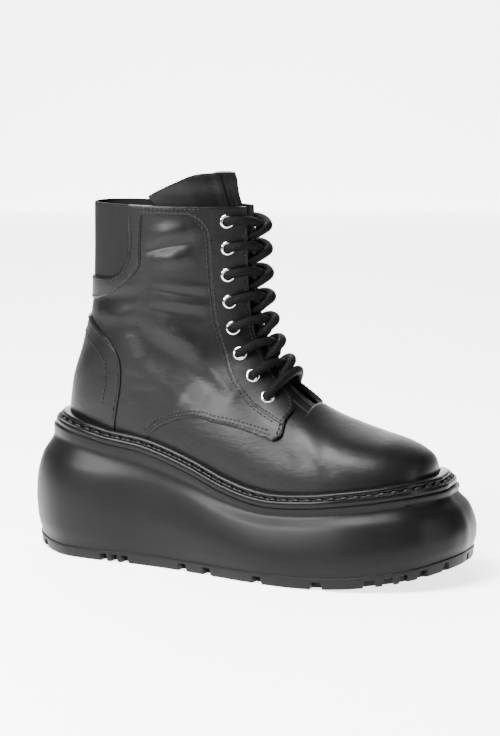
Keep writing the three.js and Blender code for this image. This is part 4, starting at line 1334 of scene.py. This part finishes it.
# %% Tongue
TONGUE_TOP = 252.0
TONGUE_LEAN = 13.0
TONGUE_LEAN_FROM = 190.0
TONGUE_DEPTH = -4.8
TONGUE_THICK = 2.2
TONGUE_BACK = [      # back edge of the wings, x and z
    (42, 78), (30, 92), (8, 122), (-8, 150), (-24, 185), (-40, 212), (-50, 232), (-54, 245), (-56, 262),
]
TONGUE_BROW = [      # top edge, x and z
    (-70, 231), (-54, 236), (-44, 240), (-30, 245.5), (-18, 250), (-10, 251.5), (2, 252), (30, 252),
]
tongue_back = height_to_x(TONGUE_BACK)
tongue_brow = x_to_height(TONGUE_BROW)


def in_tongue(p):
    return np.minimum(tongue_brow(p[..., 0]) - p[..., 2], p[..., 0] - tongue_back(p[..., 2]))


def over_vamp_seam(p):
    return np.minimum(p[..., 2] - 80, 72 - p[..., 0])


def tongue_folds(p):
    across = p[..., 1]
    high = ease(p[..., 2], 100, 150)
    broad = 0.9 * np.sin(across * 0.62 + 0.9 + 0.012 * p[..., 2])
    narrow = 0.45 * np.sin(across * 1.15 - 0.6 + 0.02 * p[..., 2])
    middle_only = np.exp(-((np.abs(across) - 3) / 14) ** 2)
    roll = 2.4 * ease(p[..., 2], 236, 250)
    return TONGUE_DEPTH + (broad + narrow) * (0.35 + 0.65 * high) * middle_only + roll


def lean(points):
    """The free top of the tongue falls back a little into the shaft."""
    out = points.copy()
    rise = np.clip((points[:, 2] - TONGUE_LEAN_FROM) / (TONGUE_TOP - TONGUE_LEAN_FROM), 0, None)
    out[:, 0] -= TONGUE_LEAN * rise ** 2
    return out


tongue = cut_panel("tongue_leather", (5.4, 17.0), (-1.9, 1.9), 1.2, [in_tongue, over_vamp_seam],
                   tongue_folds, TONGUE_THICK, warp=lean, creased=False)
dress(tongue, tongue_leather, lining)
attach(tongue, BODY)
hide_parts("tongue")

# %% [markdown]
# ## Eyelets
# Eight polished eyelets go down each facing. The rolled flange is a low ring round a
# hole, and the barrel goes through the leather. One is turned on a lathe profile, and
# the rest are copies laid on the leather along its own normal.

# %% Eyelets
EYELET_FLANGE = 4.7
EYELET_HOLE = 2.5
EYELET_ROWS = 8
chrome = Finish("polished metal", (0.42, 0.42, 0.43), 0.12, Metallic=1.0)
chrome.set("Roughness", chrome.noise(3.0, 4.0) * 0.12 + 0.08)
chrome.set("Normal", chrome.bump(chrome.noise(0.8, 2.0), 0.01))

EYELET_PROFILE = [
    (EYELET_HOLE, -2.6), (EYELET_HOLE, 0.5), (EYELET_HOLE + 0.25, 0.95), (EYELET_HOLE + 0.8, 1.2),
    (3.9, 1.1), (4.45, 0.75), (EYELET_FLANGE, 0.15), (EYELET_FLANGE - 0.1, -0.1), (3.2, -0.1), (3.1, -2.6),
]


def turned(name, profile, steps):
    """A ring turned from a closed profile of radius and height, in millimetres."""
    mesh = bpy.data.meshes.new(name)
    points = [(r * MM, 0, h * MM) for r, h in profile]
    edges = [(i, (i + 1) % len(points)) for i in range(len(points))]
    mesh.from_pydata(points, edges, [])
    piece = bpy.data.objects.new(name, mesh)
    bpy.context.scene.collection.objects.link(piece)
    activate(piece)
    bpy.ops.object.mode_set(mode="EDIT")
    bpy.ops.mesh.select_all(action="SELECT")
    bpy.ops.mesh.spin(steps=steps, angle=2 * math.pi, center=(0, 0, 0), axis=(0, 0, 1))
    face_outwards(piece, 0.005)
    shade(piece, 50)
    return piece


def frame_at(place, normal, forward=(0, 0, 1)):
    """A matrix that stands a piece's Z along a normal at a place in millimetres."""
    z = Vector(normal).normalized()
    x = Vector(forward).cross(z).normalized()
    y = z.cross(x)
    turn = Matrix((x, y, z)).transposed().to_4x4()
    return Matrix.Translation(Vector(place) * MM) @ turn


def copy_at(master, name, matrix):
    """A copy with its own mesh, moved in the mesh so that the object stays at the origin."""
    piece = bpy.data.objects.new(name, master.data.copy())
    bpy.context.scene.collection.objects.link(piece)
    piece.data.transform(matrix)
    return piece


eyelet_master = turned("eyelet_master", EYELET_PROFILE, 28)
dress(eyelet_master, chrome)
eyelet_at = {}
for side, word in ((OUTER, "outer"), (INNER, "inner")):
    boxes = [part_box(f"eyelet_{word}_{row + 1}") for row in range(EYELET_ROWS)]
    middles = [(low + high) / 2 / MM for low, high in boxes]
    t, turn = find_on_last([(middle.x, middle.z) for middle in middles], side)
    away = normals(t, turn)
    seats = surface(t, turn, border_height(bare_point(t, turn)))
    for row in range(EYELET_ROWS):
        node = f"eyelet_{word}_{row + 1}"
        piece = copy_at(eyelet_master, f"{node}_ring", frame_at(seats[row], away[row]))
        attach(piece, BODY)
        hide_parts(node)
        eyelet_at[side, row] = (t[row], turn[row] if side == OUTER else turn[row] - 2 * math.pi)
bpy.data.objects.remove(eyelet_master)
print("eyelet pairs span, mm:", round(seats[0][2] - seats[-1][2], 1))

# %% [markdown]
# ## Lace
# The lace is a round braided cord. Each strand comes out of an eyelet, crosses the
# throat downwards in an arc, and dives under the opposite facing to the next lower
# hole. Both ends stop inside the top eyelets. A curve with a round bevel would give a
# plain cord. The rings are worked out here instead, so that the braid, two families of
# strands wound opposite ways, can be drawn in the finish along the cord's own length.

# %% Lace route
LACE_RADIUS = 2.85
BRAID_PITCH = 2.6


def route(first, second, stops):
    """Places between two eyelets: share of the way, height over the last, thickness."""
    (t0, turn0), (t1, turn1) = eyelet_at[first], eyelet_at[second]
    share, lift, size = (np.array(v) for v in zip(*stops))
    share_t = ease(share, 0.0, 1.0)
    points = surface(t0 + (t1 - t0) * share_t, turn0 + (turn1 - turn0) * share, lift)
    return list(zip(points, size))


# share of the way across, height over the last, share of the full thickness
OVER_STRAND = (
    (0.00, -3.4, 0.8), (0.00, -1.2, 1.0), (0.01, 1.8, 1.0), (0.10, 4.6, 1.0), (0.24, 5.2, 1.0),
    (0.38, 6.0, 1.0), (0.50, 6.4, 1.0), (0.60, 4.6, 1.0), (0.68, 1.8, 1.0), (0.75, -1.3, 0.8),
    (0.84, -2.9, 0.5), (1.00, -3.2, 0.5),
)
UNDER_STRAND = (
    (0.00, -3.4, 0.8), (0.00, -1.2, 1.0), (0.01, 1.8, 1.0), (0.10, 4.4, 1.0), (0.24, 4.0, 1.0),
    (0.38, 2.6, 1.0), (0.50, 1.4, 1.0), (0.60, 0.6, 1.0), (0.68, -0.3, 0.95), (0.75, -1.7, 0.7),
    (0.84, -2.9, 0.5), (1.00, -3.2, 0.5),
)
BOTTOM_BAR = (
    (0.00, -3.4, 0.8), (0.00, -1.2, 1.0), (0.01, 1.8, 1.0), (0.10, 4.6, 1.0), (0.28, 5.2, 1.0),
    (0.50, 5.6, 1.0), (0.72, 5.2, 1.0), (0.90, 4.6, 1.0), (0.99, 1.8, 1.0), (1.00, -1.2, 1.0),
    (1.00, -3.4, 0.8),
)


def strand(side, row):
    """One strand, from an eyelet to the next lower one on the other side."""
    return route((side, row), (-side, row + 1), OVER_STRAND if side == INNER else UNDER_STRAND)


# %% A cord with a braid map
LACE_SIDES = 14
LACE_STEP = 0.9


def tube(name, path):
    """A round cord along a smooth path of points and radii, with a braid map that has no jump."""
    sides = LACE_SIDES
    points = np.array([p for p, _ in path], float)
    sizes = np.array([s for _, s in path], float)
    dense = smooth_line(np.column_stack([points, sizes]), 16)
    walk = even_walk(dense, LACE_STEP)
    walk = np.vstack([dense[:1], walk, dense[-1:]])
    centre, size = walk[:, :3], np.clip(walk[:, 3], 0.4, 1.05)
    ahead = directions(centre)
    across = np.zeros_like(ahead)
    start = np.cross(ahead[0], [0.3, 0.2, 0.9])
    across[0] = start / np.linalg.norm(start)
    for i in range(1, len(ahead)):
        moved = across[i - 1] - ahead[i] * np.dot(across[i - 1], ahead[i])
        across[i] = moved / np.linalg.norm(moved)
    other = np.cross(ahead, across)
    length = np.concatenate([[0], np.cumsum(np.linalg.norm(np.diff(centre, axis=0), axis=1))])
    angle = np.arange(sides) * 2 * math.pi / sides
    ring = centre[:, None] + LACE_RADIUS * size[:, None, None] * (
        np.cos(angle)[None, :, None] * across[:, None] + np.sin(angle)[None, :, None] * other[:, None])
    rows = len(centre)
    base = np.arange(rows * sides).reshape(rows, sides)
    nxt = np.roll(base, -1, axis=1)
    quads = np.stack([base[:-1], nxt[:-1], nxt[1:], base[1:]], axis=-1).reshape(-1, 4)
    faces = [tuple(q) for q in quads] + [tuple(base[0][::-1]), tuple(base[-1])]
    piece = mesh_piece(name, ring.reshape(-1, 3), faces)
    braid = piece.data.uv_layers.new(name="braid")
    for polygon in piece.data.polygons:
        ids = [piece.data.loops[i].vertex_index for i in polygon.loop_indices]
        wraps = max(k % sides for k in ids) == sides - 1 and min(k % sides for k in ids) == 0
        for loop, k in zip(polygon.loop_indices, ids):
            around = k % sides
            if wraps and around == 0 and len(ids) == 4:
                around = sides
            braid.data[loop].uv = (around / sides, length[k // sides] / BRAID_PITCH)
    shade(piece, 60)
    return piece, length[-1]


# %% Braid finish
lace_finish = Finish("braided lace", (0.012, 0.012, 0.013), 0.7, Specular_IOR_Level=0.05)
around, ahead, _ = lace_finish.parts(lace_finish.node("ShaderNodeTexCoord", out="UV"))
STRANDS = 8.0


def ridge(phase):
    """A rounded ridge that repeats every whole number."""
    wave = lace_finish.node("ShaderNodeMath", {"operation": "SINE"}, {0: phase * (2 * math.pi)})
    return wave * 0.5 + 0.5


left = ridge(around * STRANDS + ahead)
right = ridge(around * STRANDS - ahead)
weave_height_and_shade = left * right
# Base Color follows the braid's height: the grooves between strands are painted darker as painted shade, and
# the crests lighter as a painted highlight.
lace_finish.set("Base Color", lace_finish.between(weave_height_and_shade, (0.0010, 0.0010, 0.0011), (0.0040, 0.0040, 0.0042)))
lace_finish.set("Roughness", 0.72 - weave_height_and_shade * 0.22)
fuzz = lace_finish.bump(lace_finish.noise(0.35, 3.0), 0.05)
lace_finish.set("Normal", lace_finish.bump(weave_height_and_shade, 0.22, fuzz))

# %% Lace strands
lace_length = 0
for row in range(EYELET_ROWS - 1):
    for side, word in ((OUTER, "outer"), (INNER, "inner")):
        piece, reach = tube(f"lace_{word}_{row + 1}", strand(side, row))
        lace_length += reach
        dress(piece, lace_finish)
        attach(piece, BODY)
        if side == INNER:
            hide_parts(f"lace_crossing_{row + 1}")
piece, reach = tube("lace_bottom_bar", route((OUTER, EYELET_ROWS - 1), (INNER, EYELET_ROWS - 1), BOTTOM_BAR))
dress(piece, lace_finish)
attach(piece, BODY)
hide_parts("lace_bar")
print("lace through the eyelets, mm:", round(lace_length + reach))

# %% [markdown]
# ## Zip
# A short zip runs down the inner side. Its dark tape lies on the leather,
# the moulded teeth mesh down the middle, and the slider stands closed at the top. The
# pull tab hangs from the slider on its own pin, and it is the one piece that swings.

# %% Zip tape and teeth
ZIP_LINE = [
    (-42, 229), (-41, 215), (-40, 202), (-37, 172), (-34, 145), (-35, 126), (-42.5, 110), (-47, 99),
    (-46.5, 91),
]
tape_finish = Finish("zip tape", (0.012, 0.012, 0.013), 0.75, Specular_IOR_Level=0.1, Sheen_Weight=0.03)
tape_finish.set("Normal", tape_finish.bump(tape_finish.noise(0.5, 2.0, (1.0, 1.0, 3.0)), 0.08))
tape_finish.set("Roughness", tape_finish.noise(8.0) * 0.1 + 0.7)
tooth_finish = Finish("moulded teeth", (0.006, 0.006, 0.0063), 0.32, Specular_IOR_Level=0.2)
tooth_finish.set("Roughness", tooth_finish.noise(2.0) * 0.15 + 0.25)

TOOTH_PITCH = 1.3
zip_line = smooth_line(ZIP_LINE, 20)
zip_t, zip_turn = find_on_last(zip_line, INNER)
zip_on_leather = surface(zip_t, zip_turn, QUARTER_LIFT + 0.15)
zip_walk = even_walk(np.column_stack([zip_on_leather, zip_t, zip_turn]), TOOTH_PITCH)
zip_middle, zip_up = zip_walk[:, :3], normals(zip_walk[:, 3], zip_walk[:, 4])
zip_ahead = directions(zip_middle)
zip_across = np.cross(zip_ahead, zip_up)
zip_across /= np.linalg.norm(zip_across, axis=1, keepdims=True)
TAPE_PROFILE = (
    (-4.6, -0.3), (-4.6, 0.12), (-3.6, 0.3), (-2.6, 0.2), (2.6, 0.2), (3.6, 0.3), (4.6, 0.12), (4.6, -0.3),
)
tape_rings = [zip_middle + zip_across * a + zip_up * b for a, b in TAPE_PROFILE]
tape = loft("zip_tape", np.stack(tape_rings, axis=1))
shade(tape, 45)
dress(tape, tape_finish)
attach(tape, BODY)

# %% Zip teeth and the stitches beside the zip
tooth_half = zip_across * 1.35
slant = zip_ahead * 0.25
flip = np.where(np.arange(len(zip_middle)) % 2 == 0, 1, -1)[:, None]
seat = zip_middle + zip_up * 0.55
first = seat - tooth_half * (0.6 + 0.4 * (flip < 0)) + slant * flip
second = seat + tooth_half * (0.6 + 0.4 * (flip > 0)) - slant * flip
teeth = capsule_rows("zip_teeth", first, second, zip_up, 0.52, finish=tooth_finish)
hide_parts("zip_chain")
for name, side_of_zip in (("stitches_zip_back", -1), ("stitches_zip_front", 1)):
    line = zip_middle + zip_across * side_of_zip * 6.0 + zip_up * 0.35
    middle = even_walk(line, STITCH_LENGTH + STITCH_GAP)
    share, whole = np.linspace(0, 1, len(middle)), np.linspace(0, 1, len(zip_up))
    ups = np.stack([np.interp(share, whole, zip_up[:, i]) for i in range(3)], axis=1)
    half = directions(middle) * STITCH_LENGTH / 2
    capsule_rows(name, middle - half, middle + half, ups, THREAD_RADIUS)
print("zip teeth:", len(zip_middle))

# %% [markdown]
# ## Zip slider and pull tab
# The slider and its tab are die-cast. They keep the shapes they have in the frame and
# get rounded edges here, because metal with a sharp edge would look like paper.

# %% Slider and pull tab
slider = bevelled_twin("zip_slider", "slider_cast", 0.25, 45)
dress(slider, chrome)
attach(slider, BODY)
pull = bevelled_twin("zip_pull_tab", "pull_tab_cast", 0.25, 45)
dress(pull, chrome)
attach(pull, "zip_pull")
print("slider and tab faces:", len(slider.data.polygons), len(pull.data.polygons))
